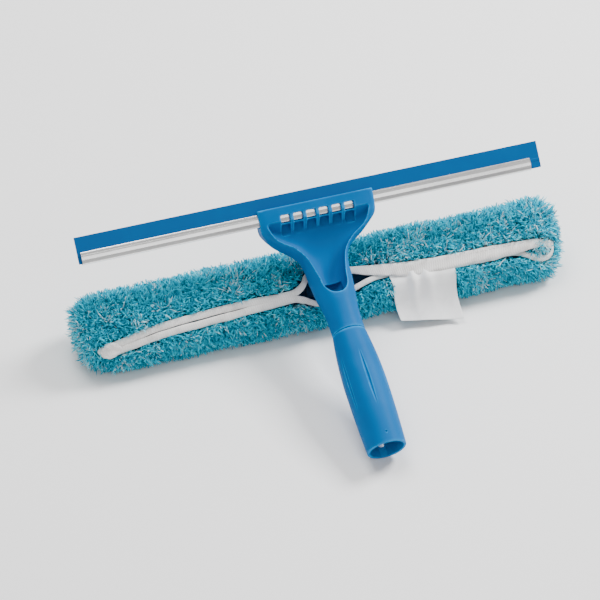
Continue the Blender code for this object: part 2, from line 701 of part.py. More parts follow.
def build_stem(collection, cutters, frame, material):
    """Flange on the T-bar and the flat stem that plugs into the handle's back."""
    foot = T_BAR_THICKNESS / 2 + CLEARANCE
    low = foot + FLANGE_THICKNESS
    mesh = box_mesh("washer_stem", [((-FLANGE_LENGTH / 2, -FLANGE_WIDTH / 2, foot),
                                     (FLANGE_LENGTH / 2, FLANGE_WIDTH / 2, low))])
    stem = add_object("washer_stem", mesh, collection, frame, material)
    post = box_mesh("stem_post", [((-STEM_WIDTH / 2, -STEM_DEPTH / 2, low - 0.001),
                                   (STEM_WIDTH / 2, STEM_DEPTH / 2, stem_top()))])
    post_object = add_object("stem_post", post, cutters, frame)
    post_object.hide_render = True
    post_object.display_type = "WIRE"
    joined = stem.modifiers.new("post", "BOOLEAN")
    joined.operation = "UNION"
    joined.solver = "EXACT"
    joined.object = post_object
    bevel_edges(stem, 0.0006)
    for side, offset in (("left", -SCREW_SPACING / 2), ("right", SCREW_SPACING / 2)):
        pilot_radius = SCREW_SHANK_DIAMETER / 2 + CLEARANCE
        pilot = cylinder_mesh("stem_pilot_" + side, pilot_radius, 0.0, 2 * low, segments=16)
        cut(stem, add_object("stem_pilot_" + side, pilot, cutters, frame, location=(offset, 0.0, 0.0)))
    return stem


def build_screws(collection, frame, material):
    """Two screws that hold the stem's flange to the T-bar, driven from the bar's back."""
    head_low = T_BAR_THICKNESS / 2 - T_BAR_WALL - CLEARANCE - SCREW_HEAD_HEIGHT
    shank = SCREW_SHANK_DIAMETER / 2
    head = SCREW_HEAD_DIAMETER / 2
    profile = [
        (0.0, SCREW_HEAD_HEIGHT + SCREW_LENGTH),
        (shank * 0.4, SCREW_HEAD_HEIGHT + SCREW_LENGTH),
        (shank, SCREW_HEAD_HEIGHT + SCREW_LENGTH * 0.8),
        (shank, SCREW_HEAD_HEIGHT),
        (head, SCREW_HEAD_HEIGHT),
        (head, SCREW_HEAD_HEIGHT * 0.4),
        (head * 0.7, 0.0),
        (0.0, 0.0),
    ]
    screws = []
    for side, offset in (("left", -SCREW_SPACING / 2), ("right", SCREW_SPACING / 2)):
        screw = turned_object("stem_screw_" + side, profile, collection, frame, material, closed=False, steps=20,
                              location=(offset, 0.0, head_low))
        smooth(screw)
        screws.append(screw)
    return screws


def slit_angle(x):
    """Where the slit's middle line is on the sleeve, from the stem's side towards the handle's open end."""
    keys = ((-SLIT_LENGTH / 2, math.radians(36.0)), (-0.045, math.radians(15.0)),
            (0.0, 0.0), (0.06, math.radians(9.0)), (SLIT_LENGTH / 2, math.radians(14.0)))
    return smooth_curve(keys, x)


def slit_half_width(x):
    """Half of the gap between the two edges of the binding."""
    return 0.0004 + (SLIT_OPENING + STEM_DEPTH / 6) * math.exp(-(x / SLIT_SPREAD) ** 4)


def sleeve_scale(x):
    """Share of the full section, which rounds off towards the two ends."""
    reach = min(abs(x - SLEEVE_MIDDLE) / (SLEEVE_LENGTH / 2), 1.0)
    return max(1.0 - reach ** 16, 0.0) ** 0.25


def sleeve_point(x, angle, lift=0.0, scale=1.0):
    """Point on the sleeve at an angle from the stem's side, lifted off its surface."""
    y = -(SLEEVE_HALF_WIDTH * scale + lift) * math.sin(angle)
    z = (SLEEVE_HALF_DEPTH * scale + lift) * math.cos(angle)
    return Vector((x, y, z))


def surface_point(x, across, lift):
    """Point beside the slit's middle line, so far across the surface towards the head, and lifted."""
    mean = (SLEEVE_HALF_WIDTH + SLEEVE_HALF_DEPTH) / 2
    return sleeve_point(x, slit_angle(x) - across / mean, lift, sleeve_scale(x))


def slit_stations(half_length):
    """Places along the slit, close together beside the stem and at its rounded ends."""
    near = 8
    reach = SLIT_SPREAD * 1.8
    side = [reach * index / near for index in range(near)]
    far = 9
    side += [reach + (half_length - reach) * math.sin(math.pi / 2 * index / far) for index in range(far)]
    return sorted({-x for x in side} | set(side))


def binding_path():
    """Closed path of the binding round the slit, as (x, across) pairs."""
    half_length = SLIT_LENGTH / 2 - BINDING_WIDTH / 2
    upper = []
    for x in slit_stations(half_length):
        ends = (1.0 - (abs(x) / half_length) ** 12) ** 0.5
        upper.append((x, (slit_half_width(x) + BINDING_WIDTH / 2) * ends))
    lower = [(x, -across) for x, across in reversed(upper)]
    return [(-half_length, 0.0)] + upper + [(half_length, 0.0)] + lower


def build_binding(collection, frame, material):
    """Folded tape sewn round the slit's edge, as one closed ring."""
    path = binding_path()
    section = ((1, 0.2), (0.7, 0.5), (-0.7, 0.5), (-1, 0.2), (-1, -0.3), (-0.7, -0.5), (0.7, -0.5), (1, -0.3))
    rings = []
    count = len(path)
    for index, (x, across) in enumerate(path):
        before = path[index - 1]
        after = path[(index + 1) % count]
        run = Vector((after[0] - before[0], after[1] - before[1])).normalized()
        side = Vector((-run.y, run.x)) * (BINDING_WIDTH / 2)
        ring = []
        for reach, lift in section:
            ring.append(surface_point(x + side.x * reach, across + side.y * reach,
                                      BINDING_THICKNESS * (lift - 0.35)))
        rings.append(ring)
    mesh = loft_mesh("sleeve_binding", rings, closed_path=True)
    binding = add_object("sleeve_binding", mesh, collection, frame, material)
    smooth(binding)
    return binding


def slit_cutter(cutters, frame):
    """Wedge that follows the slit and leaves room for the binding and the closure strips."""
    rings = []
    half_length = SLIT_LENGTH / 2 + SLIT_EASE * 1.6
    for x in [-half_length] + slit_stations(half_length) + [half_length]:
        ends = max(1.0 - (abs(x) / half_length) ** 12, 0.0) ** 0.5
        half = max((slit_half_width(x) + BINDING_WIDTH + SLIT_EASE) * ends, 0.0004)
        rings.append([surface_point(x, half, 0.012), surface_point(x, half, -0.008),
                      surface_point(x, -half, -0.008), surface_point(x, -half, 0.012)])
    return add_object("slit", loft_mesh("slit", rings), cutters, frame)


def sleeve_rings(lift, half_length, count=24, steps=18):
    """Rings along the sleeve; lift moves them off its surface."""
    rings = []
    for index in range(steps + 1):
        x = SLEEVE_MIDDLE - half_length * math.cos(math.pi * index / steps)
        scale = max(sleeve_scale(x), 0.45)
        rings.append([sleeve_point(x, math.tau * i / count, lift, scale) for i in range(count)])
    return rings


def build_sleeve(collection, cutters, frame, material):
    """Closed tube of pile fabric with a slit in its front and a cavity for the T-bar."""
    outer = loft_mesh("washer_sleeve", sleeve_rings(0.0, SLEEVE_LENGTH / 2))
    sleeve = add_object("washer_sleeve", outer, collection, frame, material)
    smooth(sleeve)
    cavity_half = SLEEVE_LENGTH / 2 - SLEEVE_WALL
    cavity_rings = []
    for index in range(9):
        x = SLEEVE_MIDDLE + cavity_half * (index / 4 - 1)
        cavity_rings.append([sleeve_point(x, math.tau * i / 24, -SLEEVE_WALL) for i in range(24)])
    cut(sleeve, add_object("sleeve_cavity", loft_mesh("sleeve_cavity", cavity_rings), cutters, frame))
    cut(sleeve, slit_cutter(cutters, frame))
    return sleeve


def build_strip(name, side, collection, frame, material):
    """Closure strip sewn under one edge of the slit."""
    rings = []
    steps = 12
    level = -BINDING_THICKNESS * 0.85 - CLEARANCE
    inner = 0.0008
    for index in range(steps + 1):
        x = STRIP_MIDDLE + STRIP_LENGTH * (index / steps - 0.5)
        near = side * inner
        far = side * (inner + STRIP_WIDTH)
        under = level - STRIP_THICKNESS
        rings.append([surface_point(x, near, level), surface_point(x, far, level),
                      surface_point(x, far, under), surface_point(x, near, under)])
    return add_object(name, loft_mesh(name, rings), collection, frame, material)


def build_label(collection, frame, material):
    """Satin label that lies over the sleeve's lower side and hangs clear at its free end."""
    low = LABEL_MIDDLE - LABEL_WIDTH / 2
    high = LABEL_MIDDLE + LABEL_WIDTH / 2
    steps = 8
    section = []
    for index in range(steps + 1):
        angle = LABEL_START_ANGLE + (LABEL_LEAVE_ANGLE - LABEL_START_ANGLE) * index / steps
        section.append((sleeve_point(0.0, angle, LABEL_STAND_OFF),
                        sleeve_point(0.0, angle, LABEL_STAND_OFF + LABEL_THICKNESS)))
    run = section[-1][0] - section[-2][0]
    heading = math.atan2(run.z, run.y)
    free_steps = 6
    for index in range(free_steps):
        turned = heading - LABEL_CURL * (index + 0.5) / free_steps
        move = Vector((0.0, math.cos(turned), math.sin(turned))) * (LABEL_FREE_LENGTH / free_steps)
        across = Vector((0.0, math.sin(turned), -math.cos(turned))) * LABEL_THICKNESS
        under = section[-1][0] + move
        section.append((under, under + across))
    rings = []
    for under, over in section:
        rings.append([(low, under.y, under.z), (high, under.y, under.z),
                      (high, over.y, over.z), (low, over.y, over.z)])
    return add_object("care_label", loft_mesh("care_label", rings), collection, frame, material)


# ---------------------------------------------------------------- assembly
def set_down(frame, collection):
    """Move the tool so that the middle of its box stands over the origin, with its foot at zero height."""
    bpy.context.view_layer.update()
    graph = bpy.context.evaluated_depsgraph_get()
    corners = []
    for item in collection.objects:
        ready = item.evaluated_get(graph)
        corners.extend(ready.matrix_world @ vertex.co for vertex in ready.data.vertices)
    low = [min(corner[axis] for corner in corners) for axis in range(3)]
    high = [max(corner[axis] for corner in corners) for axis in range(3)]
    frame.location = (-(low[0] + high[0]) / 2, -(low[1] + high[1]) / 2, -low[2])
    bpy.context.view_layer.update()


def main():
    """Build the whole tool."""
    clear_scene()
    parts = new_collection("window_cleaning_squeegee")
    cutters = new_collection("cutters")
    plastic = principled("blue_plastic", (0.0, 0.21, 0.55), 0.42)
    rubber = principled("blue_rubber", (0.0, 0.16, 0.43), 0.55)
    aluminium = principled("aluminium", (0.62, 0.61, 0.60), 0.38, 1.0)
    steel = principled("spring_steel", (0.55, 0.55, 0.56), 0.30, 1.0)
    dark_plastic = principled("dark_plastic", (0.004, 0.035, 0.08), 0.5)
    pile = principled("turquoise_pile", (0.0, 0.33, 0.52), 0.95)
    tape = principled("white_tape", (0.70, 0.67, 0.64), 0.9)
    satin = principled("white_satin", (0.77, 0.77, 0.77), 0.5)
    fastener = principled("grey_fastener", (0.30, 0.30, 0.30), 0.95)

    tool = add_frame("tool_frame", tilt=resting_tilt())
    blade = add_frame("blade_frame", tool, (0.0, CHANNEL_Y, CHANNEL_FORWARD), BLADE_LEAN)
    washer = add_frame("washer_frame", tool, (0.0, WASHER_Y, -WASHER_BEHIND), WASHER_TILT)

    build_grip(parts, cutters, tool, plastic)
    build_head(parts, cutters, tool, blade, washer, plastic.copy())
    outline_object("squeegee_channel", channel_outline(), CHANNEL_LENGTH, parts, blade, aluminium,
                   middle=CHANNEL_OFFSET)
    outline_object("rubber_blade", rubber_outline(), RUBBER_LENGTH, parts, blade, rubber, middle=RUBBER_OFFSET)
    build_spring(parts, blade, steel)
    build_t_bar(parts, cutters, washer, dark_plastic)
    build_stem(parts, cutters, washer, dark_plastic.copy())
    build_screws(parts, washer, steel.copy())
    build_sleeve(parts, cutters, washer, pile)
    build_binding(parts, washer, tape)
    build_strip("hook_strip", 1, parts, washer, fastener)
    build_strip("loop_strip", -1, parts, washer, fastener.copy())
    build_label(parts, washer, satin)
    set_down(tool, parts)


main()
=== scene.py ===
"""Window cleaning squeegee with a microfibre washer sleeve: its visual model, studio and camera.

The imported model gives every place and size.  Each class below makes one sub-assembly: it holds that
sub-assembly's sizes, builds its meshes in the sub-assembly's own frame and dresses them.
"""
from __future__ import annotations

import json
import logging
import math
from dataclasses import dataclass
from enum import Enum

import bmesh
import bpy
import numpy as np
from mathutils import Matrix, Vector, noise

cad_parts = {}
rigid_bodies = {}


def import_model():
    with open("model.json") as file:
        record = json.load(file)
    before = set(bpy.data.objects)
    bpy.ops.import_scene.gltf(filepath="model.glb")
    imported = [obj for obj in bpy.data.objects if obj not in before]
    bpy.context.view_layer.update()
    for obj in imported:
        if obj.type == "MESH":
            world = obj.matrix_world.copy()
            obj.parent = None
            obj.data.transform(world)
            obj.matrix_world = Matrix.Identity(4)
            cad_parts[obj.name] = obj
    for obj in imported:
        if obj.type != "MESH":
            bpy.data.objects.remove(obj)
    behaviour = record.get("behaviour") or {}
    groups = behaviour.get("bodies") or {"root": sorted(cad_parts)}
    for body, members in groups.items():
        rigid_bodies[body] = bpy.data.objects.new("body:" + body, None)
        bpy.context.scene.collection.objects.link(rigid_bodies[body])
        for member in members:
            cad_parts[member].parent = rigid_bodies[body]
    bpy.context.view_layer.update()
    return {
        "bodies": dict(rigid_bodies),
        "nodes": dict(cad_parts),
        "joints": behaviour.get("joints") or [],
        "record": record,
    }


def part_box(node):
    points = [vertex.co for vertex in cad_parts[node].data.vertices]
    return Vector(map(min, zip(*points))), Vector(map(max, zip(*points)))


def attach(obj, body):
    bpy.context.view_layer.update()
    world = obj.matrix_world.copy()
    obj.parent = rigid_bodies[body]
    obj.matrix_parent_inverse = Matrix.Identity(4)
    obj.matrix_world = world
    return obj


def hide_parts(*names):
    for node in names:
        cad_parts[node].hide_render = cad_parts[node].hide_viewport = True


LOG = logging.getLogger("squeegee")
Colour = tuple[float, float, float]


class Body(Enum):
    """Rigid bodies that pieces ride on."""

    HANDLE = "handle"
    CHANNEL = "channel"
    BLADE = "blade"
    WASHER = "washer"


class Slot(Enum):
    """Names of the record's material slots."""

    PLASTIC = "blue_plastic"
    RUBBER = "blue_rubber"
    ALUMINIUM = "aluminium"
    PILE = "turquoise_pile"
    TAPE = "white_tape"
    SATIN = "white_satin"
    FASTENER = "grey_fastener"


# ---------------------------------------------------------------- frames
@dataclass(frozen=True)
class PieceFrame:
    """Place of a sub-assembly: its origin and its lean about X."""

    origin: Vector
    lean: float

    def matrix(self) -> Matrix:
        """Give the matrix from this frame to the world."""
        return Matrix.Translation(self.origin) @ Matrix.Rotation(self.lean, 4, "X")


@dataclass(frozen=True)
class Layout:
    """The three frames of the tool."""

    tool: PieceFrame
    blade: PieceFrame
    washer: PieceFrame

    @classmethod
    def from_frame(cls, frame: dict) -> "Layout":
        """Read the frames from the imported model.


        Returns:
            The layout, with each frame's Y up the handle or the blade and its Z to the front.
        """
        ring_radius = 0.0134
        blade_lean = math.radians(25.0)
        washer_tilt = math.radians(15.0)
        mount = frame["record"]["mounts"][0]
        lean = math.atan2(-mount["axis"][2], -mount["axis"][1])
        front = Vector((0.0, -math.sin(lean), math.cos(lean)))
        tool = Vector(mount["pos_m"]) - front * ring_radius
        blade = middle_of("squeegee_channel")
        blade.x = tool.x
        washer = middle_of("t_bar")
        return cls(PieceFrame(tool, lean), PieceFrame(blade, lean + blade_lean),
                   PieceFrame(washer, lean + washer_tilt))


def middle_of(node: str) -> Vector:
    """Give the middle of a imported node's box."""
    low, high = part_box(node)
    return (low + high) / 2


# ---------------------------------------------------------------- shaders
def srgb(code: str) -> Colour:
    """Turn a colour code, as RRGGBB, into linear red, green and blue."""
    parts = [int(code[i:i + 2], 16) / 255 for i in (0, 2, 4)]
    return tuple(p / 12.92 if p <= 0.04045 else ((p + 0.055) / 1.055) ** 2.4 for p in parts)


class Shader:
    """A Principled material under construction."""

    def __init__(self, name: str, **constants: float) -> None:
        """Start a material.

        Args:
            name: the material's name.
            constants: values set on the shader's own sockets, with _ for a space.
        """
        self.material = bpy.data.materials.new(name)
        self.material.use_nodes = True
        self.tree = self.material.node_tree
        self.surface = self.tree.nodes["Principled BSDF"]
        for key, value in constants.items():
            self.surface.inputs[key.replace("_", " ")].default_value = value

    def add(self, kind: str, **settings: object) -> bpy.types.Node:
        """Add a node and set its properties.

        Args:
            kind: the node type.
            settings: properties to set on it.

        Returns:
            The new node.
        """
        node = self.tree.nodes.new(kind)
        for key, value in settings.items():
            setattr(node, key, value)
        return node

    def link(self, source: bpy.types.NodeSocket, target: bpy.types.NodeSocket) -> None:
        """Join two sockets."""
        self.tree.links.new(source, target)

    def place(self, stretch: tuple[float, float, float] = (1.0, 1.0, 1.0)) -> bpy.types.NodeSocket:
        """Give Object coordinates, stretched along the axes.

        Args:
            stretch: scale along X, Y and Z.

        Returns:
            The coordinates.
        """
        coordinates = self.add("ShaderNodeTexCoord")
        mapping = self.add("ShaderNodeMapping")
        mapping.inputs["Scale"].default_value = stretch
        self.link(coordinates.outputs["Object"], mapping.inputs["Vector"])
        return mapping.outputs["Vector"]

    def noise(self, place: bpy.types.NodeSocket, scale: float, detail: float = 3.0) -> bpy.types.NodeSocket:
        """Give a noise between 0 and 1.

        Args:
            place: coordinates to read it at.
            scale: how many lumps in a metre.
            detail: how many finer layers.

        Returns:
            The noise value.
        """
        node = self.add("ShaderNodeTexNoise")
        node.inputs["Scale"].default_value = scale
        node.inputs["Detail"].default_value = detail
        self.link(place, node.inputs["Vector"])
        return node.outputs["Fac"]

    def ramp(self, factor: bpy.types.NodeSocket, stops: list[tuple[float, Colour]]) -> bpy.types.NodeSocket:
        """Give a colour that runs through the stops as the factor grows.

        Args:
            factor: the value that picks the colour.
            stops: (position, colour) pairs.

        Returns:
            The colour.
        """
        node = self.add("ShaderNodeValToRGB")
        elements = node.color_ramp.elements
        while len(elements) < len(stops):
            elements.new(1.0)
        for element, (position, colour) in zip(elements, stops):
            element.position = position
            element.color = (*colour, 1.0)
        self.link(factor, node.inputs["Fac"])
        return node.outputs["Color"]

    def mix(self, factor: bpy.types.NodeSocket, first: bpy.types.NodeSocket | Colour,
            second: bpy.types.NodeSocket | Colour) -> bpy.types.NodeSocket:
        """Mix two colours, each a socket or a fixed colour.

        Args:
            factor: 0 for the first colour, 1 for the second.
            first: the first colour.
            second: the second colour.

        Returns:
            The mixed colour.
        """
        node = self.add("ShaderNodeMix", data_type="RGBA")
        self.link(factor, node.inputs[0])
        for index, colour in ((6, first), (7, second)):
            if isinstance(colour, tuple):
                node.inputs[index].default_value = (*colour, 1.0)
            else:
                self.link(colour, node.inputs[index])
        return node.outputs[2]

    def span(self, value: bpy.types.NodeSocket, low: float, high: float, to_low: float,
             to_high: float) -> bpy.types.NodeSocket:
        """Move a value from one range to another.

        Args:
            value: the value to move.
            low: where the first range starts.
            high: where it ends.
            to_low: where the second range starts.
            to_high: where it ends.

        Returns:
            The moved value.
        """
        node = self.add("ShaderNodeMapRange")
        for key, number in (("From Min", low), ("From Max", high), ("To Min", to_low), ("To Max", to_high)):
            node.inputs[key].default_value = number
        self.link(value, node.inputs["Value"])
        return node.outputs["Result"]

    def maths(self, kind: str, first: bpy.types.NodeSocket, second: bpy.types.NodeSocket | float
              ) -> bpy.types.NodeSocket:
        """Join two values by a Math node.

        Args:
            kind: the operation.
            first: the first value.
            second: the second value, a socket or a number.

        Returns:
            The result.
        """
        node = self.add("ShaderNodeMath", operation=kind)
        self.link(first, node.inputs[0])
        if isinstance(second, float):
            node.inputs[1].default_value = second
        else:
            self.link(second, node.inputs[1])
        return node.outputs["Value"]

    def attribute(self, name: str) -> bpy.types.NodeSocket:
        """Give a mesh attribute's value."""
        return self.add("ShaderNodeAttribute", attribute_name=name).outputs["Fac"]

    def bump(self, height: bpy.types.NodeSocket, distance: float, strength: float = 1.0) -> None:
        """Raise the surface by a height.

        Args:
            height: the height to read.
            distance: how high a height of 1 is, in metres.
            strength: the share of it that is used.
        """
        node = self.add("ShaderNodeBump")
        node.inputs["Strength"].default_value = strength
        node.inputs["Distance"].default_value = distance
        self.link(height, node.inputs["Height"])
        self.link(node.outputs["Normal"], self.surface.inputs["Normal"])

    def colour(self, source: bpy.types.NodeSocket) -> None:
        """Feed the base colour."""
        self.link(source, self.surface.inputs["Base Color"])

    def roughness(self, source: bpy.types.NodeSocket) -> None:
        """Feed the roughness."""
        self.link(source, self.surface.inputs["Roughness"])


@dataclass(frozen=True)
class MouldedPlastic:
    """Satin moulded plastic with a fine grain, slow colour drift and paler edges, partly wear and partly a
    painted highlight along the rims.
    """

    name: str
    base: Colour
    deep: Colour
    # worn: the paler edge colour, partly wear and partly a painted highlight on the rims.
    worn: Colour
    low_gloss: float = 0.42
    high_gloss: float = 0.54

    def make(self) -> bpy.types.Material:
        """Build the material.

        Returns:
            The material.
        """
        shader = Shader(self.name, IOR=1.47, Specular_IOR_Level=0.06)
        place = shader.place()
        drift = shader.noise(place, 38.0, 2.0)
        body = shader.mix(shader.span(drift, 0.35, 0.65, 0.0, 1.0), self.deep, self.base)
        # Convex edges, found by pointiness, are painted paler: partly wear, partly a painted highlight along
        # the rims.
        edge = shader.add("ShaderNodeNewGeometry").outputs["Pointiness"]
        wear_and_edge_highlight = shader.maths("MULTIPLY", shader.span(edge, 0.503, 0.528, 0.0, 0.90),
                            shader.noise(place, 260.0, 4.0))
        shader.colour(shader.mix(wear_and_edge_highlight, body, self.worn))
        grain = shader.noise(place, 2600.0, 2.0)
        scuffs = shader.noise(shader.place((120.0, 900.0, 900.0)), 1.0, 4.0)
        shader.roughness(shader.span(scuffs, 0.3, 0.7, self.low_gloss, self.high_gloss))
        shader.bump(grain, 0.00002, 0.35)
        return shader.material


@dataclass(frozen=True)
class BladeRubber:
    """Flat blue rubber with faint extrusion lines and dust."""

    name: str = "blade_rubber"
    base: Colour = (0.0, 0.078, 0.245)
    dusty: Colour = (0.002, 0.096, 0.28)

    def make(self) -> bpy.types.Material:
        """Build the material.

        Returns:
            The material.
        """
        shader = Shader(self.name, IOR=1.5, Specular_IOR_Level=0.1)
        place = shader.place()
        dust = shader.noise(place, 90.0, 5.0)
        lines = shader.noise(shader.place((3.0, 1400.0, 1400.0)), 1.0, 2.0)
        shader.colour(shader.mix(shader.span(dust, 0.45, 0.75, 0.0, 0.35), self.base, self.dusty))
        shader.roughness(shader.span(dust, 0.3, 0.7, 0.46, 0.62))
        shader.bump(lines, 0.00003, 0.3)
        return shader.material


@dataclass(frozen=True)
class DrawnMetal:
    """Metal with lines along its length."""

    name: str
    bright: Colour
    dull: Colour
    low_gloss: float
    high_gloss: float
    metal: float = 1.0

    def make(self) -> bpy.types.Material:
        """Build the material.

        Returns:
            The material.
        """
        shader = Shader(self.name, Metallic=self.metal)
        lines = shader.noise(shader.place((7.0, 2600.0, 2600.0)), 1.0, 3.0)
        bands = shader.noise(shader.place((16.0, 60.0, 60.0)), 1.0, 3.0)
        shader.colour(shader.mix(shader.span(bands, 0.35, 0.65, 0.0, 1.0), self.dull, self.bright))
        shader.roughness(shader.span(lines, 0.3, 0.7, self.low_gloss, self.high_gloss))
        shader.bump(lines, 0.00002, 0.5)
        return shader.material


@dataclass(frozen=True)
class PileFibre:
    """Microfibre strands: the tone attribute picks the dye, and reach runs from root to tip; the colour
    darkens towards the root as painted shade deep in the pile.
    """

    name: str = "pile_fibre"
    # root: dark colour at the strand roots, painted shade deep in the pile.
    root: Colour = (0.0, 0.11, 0.17)

    def make(self) -> bpy.types.Material:
        """Build the material.

        Returns:
            The material.
        """
        shader = Shader(self.name, Roughness=0.66, Specular_IOR_Level=0.12, Sheen_Weight=0.04,
                        Sheen_Roughness=0.4)
        shader.surface.inputs["Sheen Tint"].default_value = (0.45, 0.90, 1.0, 1.0)
        dye = shader.ramp(shader.attribute("tone"), [
            (0.0, (0.0, 0.22, 0.33)), (0.25, (0.0, 0.42, 0.60)), (0.50, (0.0, 0.62, 0.82)),
            (0.76, (0.03, 0.76, 0.92)), (0.86, (0.34, 0.72, 0.82)), (1.0, (0.60, 0.80, 0.86)),
        ])
        # Painted shade: strands darken towards the root, where the pile shades itself.
        depth = shader.span(shader.attribute("reach"), 0.0, 0.62, 0.80, 0.0)
        shader.colour(shader.mix(depth, dye, self.root))
        return shader.material


@dataclass(frozen=True)
class BackingCloth:
    """Knitted backing that the pile stands on."""

    name: str = "backing_cloth"

    def make(self) -> bpy.types.Material:
        """Build the material.

        Returns:
            The material.
        """
        shader = Shader(self.name, Roughness=0.95, Sheen_Weight=0.2)
        place = shader.place()
        knit = shader.noise(place, 900.0, 3.0)
        patches = shader.noise(place, 70.0, 3.0)
        shader.colour(shader.ramp(patches, [(0.3, (0.0, 0.18, 0.27)), (0.7, (0.0, 0.32, 0.45))]))
        shader.bump(knit, 0.0006, 0.7)
        return shader.material


@dataclass(frozen=True)
class WovenTape:
    """White woven tape: a diagonal rib along its own map, with grey painted shade in its hollows and grey
    soil patches.
    """

    name: str
    light: Colour
    soil_and_hollow_shade: Colour
    pitch: float = 0.00075
    relief: float = 0.00014
    gloss: float = 0.85

    def make(self) -> bpy.types.Material:
        """Build the material.

        Returns:
            The material.
        """
        shader = Shader(self.name, Roughness=self.gloss, Sheen_Weight=0.15, Sheen_Roughness=0.5)
        mapped = shader.add("ShaderNodeUVMap", uv_map="cloth")
        turned = shader.add("ShaderNodeMapping")
        turned.inputs["Rotation"].default_value = (0.0, 0.0, math.radians(38.0))
        shader.link(mapped.outputs["UV"], turned.inputs["Vector"])
        ribs = []
        for direction in ("X", "Y"):
            wave = shader.add("ShaderNodeTexWave", wave_type="BANDS", bands_direction=direction)
            wave.inputs["Scale"].default_value = 1 / (self.pitch * 20 / math.tau)
            wave.inputs["Distortion"].default_value = 1.2
            wave.inputs["Detail"].default_value = 2.0
            shader.link(turned.outputs["Vector"], wave.inputs["Vector"])
            ribs.append(wave.outputs["Fac"])
        weave = shader.maths("MULTIPLY", ribs[0], shader.span(ribs[1], 0.0, 1.0, 0.55, 1.0))
        # Soil: random patches mixed towards the grey.
        soil = shader.noise(shader.place(), 110.0, 5.0)
        worn = shader.mix(shader.span(soil, 0.5, 0.85, 0.0, 0.6), self.light, self.soil_and_hollow_shade)
        # Painted shade: the weave's hollows are mixed towards the grey.
        shader.colour(shader.mix(shader.span(weave, 0.0, 0.5, 0.30, 0.0), worn, self.soil_and_hollow_shade))
        shader.bump(weave, self.relief, 0.8)
        return shader.material


@dataclass(frozen=True)
class SoftPaper:
    """Matt floor."""

    name: str = "studio_floor"

    def make(self) -> bpy.types.Material:
        """Build the material.

        Returns:
            The material.
        """
        shader = Shader(self.name, Roughness=0.9)
        cloud = shader.noise(shader.place(), 2.0, 2.0)
        shader.colour(shader.ramp(cloud, [(0.3, (0.95, 0.95, 0.95)), (0.7, (0.97, 0.97, 0.97))]))
        return shader.material


@dataclass(frozen=True)
class Wardrobe:
    """Every finish of the tool, made once."""

    plastic: bpy.types.Material
    navy: bpy.types.Material
    rubber: bpy.types.Material
    aluminium: bpy.types.Material
    steel: bpy.types.Material
    fibre: bpy.types.Material
    backing: bpy.types.Material
    tape: bpy.types.Material
    satin: bpy.types.Material
    fastener: bpy.types.Material

    @classmethod
    def make(cls) -> "Wardrobe":
        """Build all the materials.

        Returns:
            The wardrobe.
        """
        return cls(
            # Both plastics' worn colours are far paler blues: partly edge wear, partly a painted highlight on
            # the rims.
            plastic=MouldedPlastic("blue_plastic_moulded", base=(0.0, 0.118, 0.345),
                                   deep=(0.0, 0.104, 0.31), worn=(0.02, 0.34, 0.74)).make(),
            # Navy, far darker than the handle's blue: where the T-bar shows through the slit between the
            # tapes, this darkness is painted shade.
            navy=MouldedPlastic("navy_plastic_moulded", base=srgb("06304E"),
                                deep=srgb("04283F"), worn=srgb("2C5C80")).make(),
            rubber=BladeRubber().make(),
            aluminium=DrawnMetal("drawn_aluminium", bright=(0.88, 0.88, 0.88), dull=(0.70, 0.70, 0.70),
                                 low_gloss=0.20, high_gloss=0.30, metal=0.96).make(),
            steel=DrawnMetal("rolled_steel", bright=srgb("CFCFD1"), dull=srgb("A5A5A8"),
                             low_gloss=0.22, high_gloss=0.32).make(),
            fibre=PileFibre().make(),
            backing=BackingCloth().make(),
            tape=WovenTape("woven_tape", light=srgb("F6F3F0"), soil_and_hollow_shade=srgb("A9A39E"),
                           pitch=0.0011, relief=0.00022).make(),
            satin=WovenTape("label_satin", light=srgb("F8F8F8"), soil_and_hollow_shade=srgb("DEDEDE"),
                            pitch=0.00040, relief=0.00003, gloss=0.50).make(),
            fastener=WovenTape("hook_and_loop", light=srgb("B4B4B4"), soil_and_hollow_shade=srgb("7C7C7C"),
                               pitch=0.0011, relief=0.0004, gloss=0.9).make(),
        )


# ---------------------------------------------------------------- mesh tools
def bmesh_object(shape: bmesh.types.BMesh, name: str, place: Matrix | None = None) -> bpy.types.Object:
    """Turn a bmesh into a linked object at the origin.

    Args:
        shape: the bmesh, which is freed.
        name: the object's name.
        place: matrix from the bmesh's frame to the world.

    Returns:
        The new object.
    """
    if place is not None:
        bmesh.ops.transform(shape, verts=shape.verts, matrix=place)
    mesh = bpy.data.meshes.new(name)
    shape.to_mesh(mesh)
    shape.free()
    item = bpy.data.objects.new(name, mesh)
    bpy.context.scene.collection.objects.link(item)
    return item


def baked(item: bpy.types.Object) -> bpy.types.Object:
    """Apply every modifier of an object to its mesh.

    Args:
        item: the object with modifiers.

    Returns:
        The same object, without them.
    """
    bpy.context.view_layer.update()
    graph = bpy.context.evaluated_depsgraph_get()
    mesh = bpy.data.meshes.new_from_object(item.evaluated_get(graph))
    item.modifiers.clear()
    mesh.name = item.name
    item.data = mesh
    return item


def carve(item: bpy.types.Object, cutters: list[bpy.types.Object]) -> bpy.types.Object:
    """Take cutters out of an object and remove them.

    Args:
        item: the object to cut.
        cutters: closed shapes to take out of it.

    Returns:
        The cut object.
    """
    for cutter in cutters:
        step = item.modifiers.new("cut", "BOOLEAN")
        step.operation = "DIFFERENCE"
        step.solver = "EXACT"
        step.object = cutter
    baked(item)
    for cutter in cutters:
        bpy.data.objects.remove(cutter, do_unlink=True)
    return item


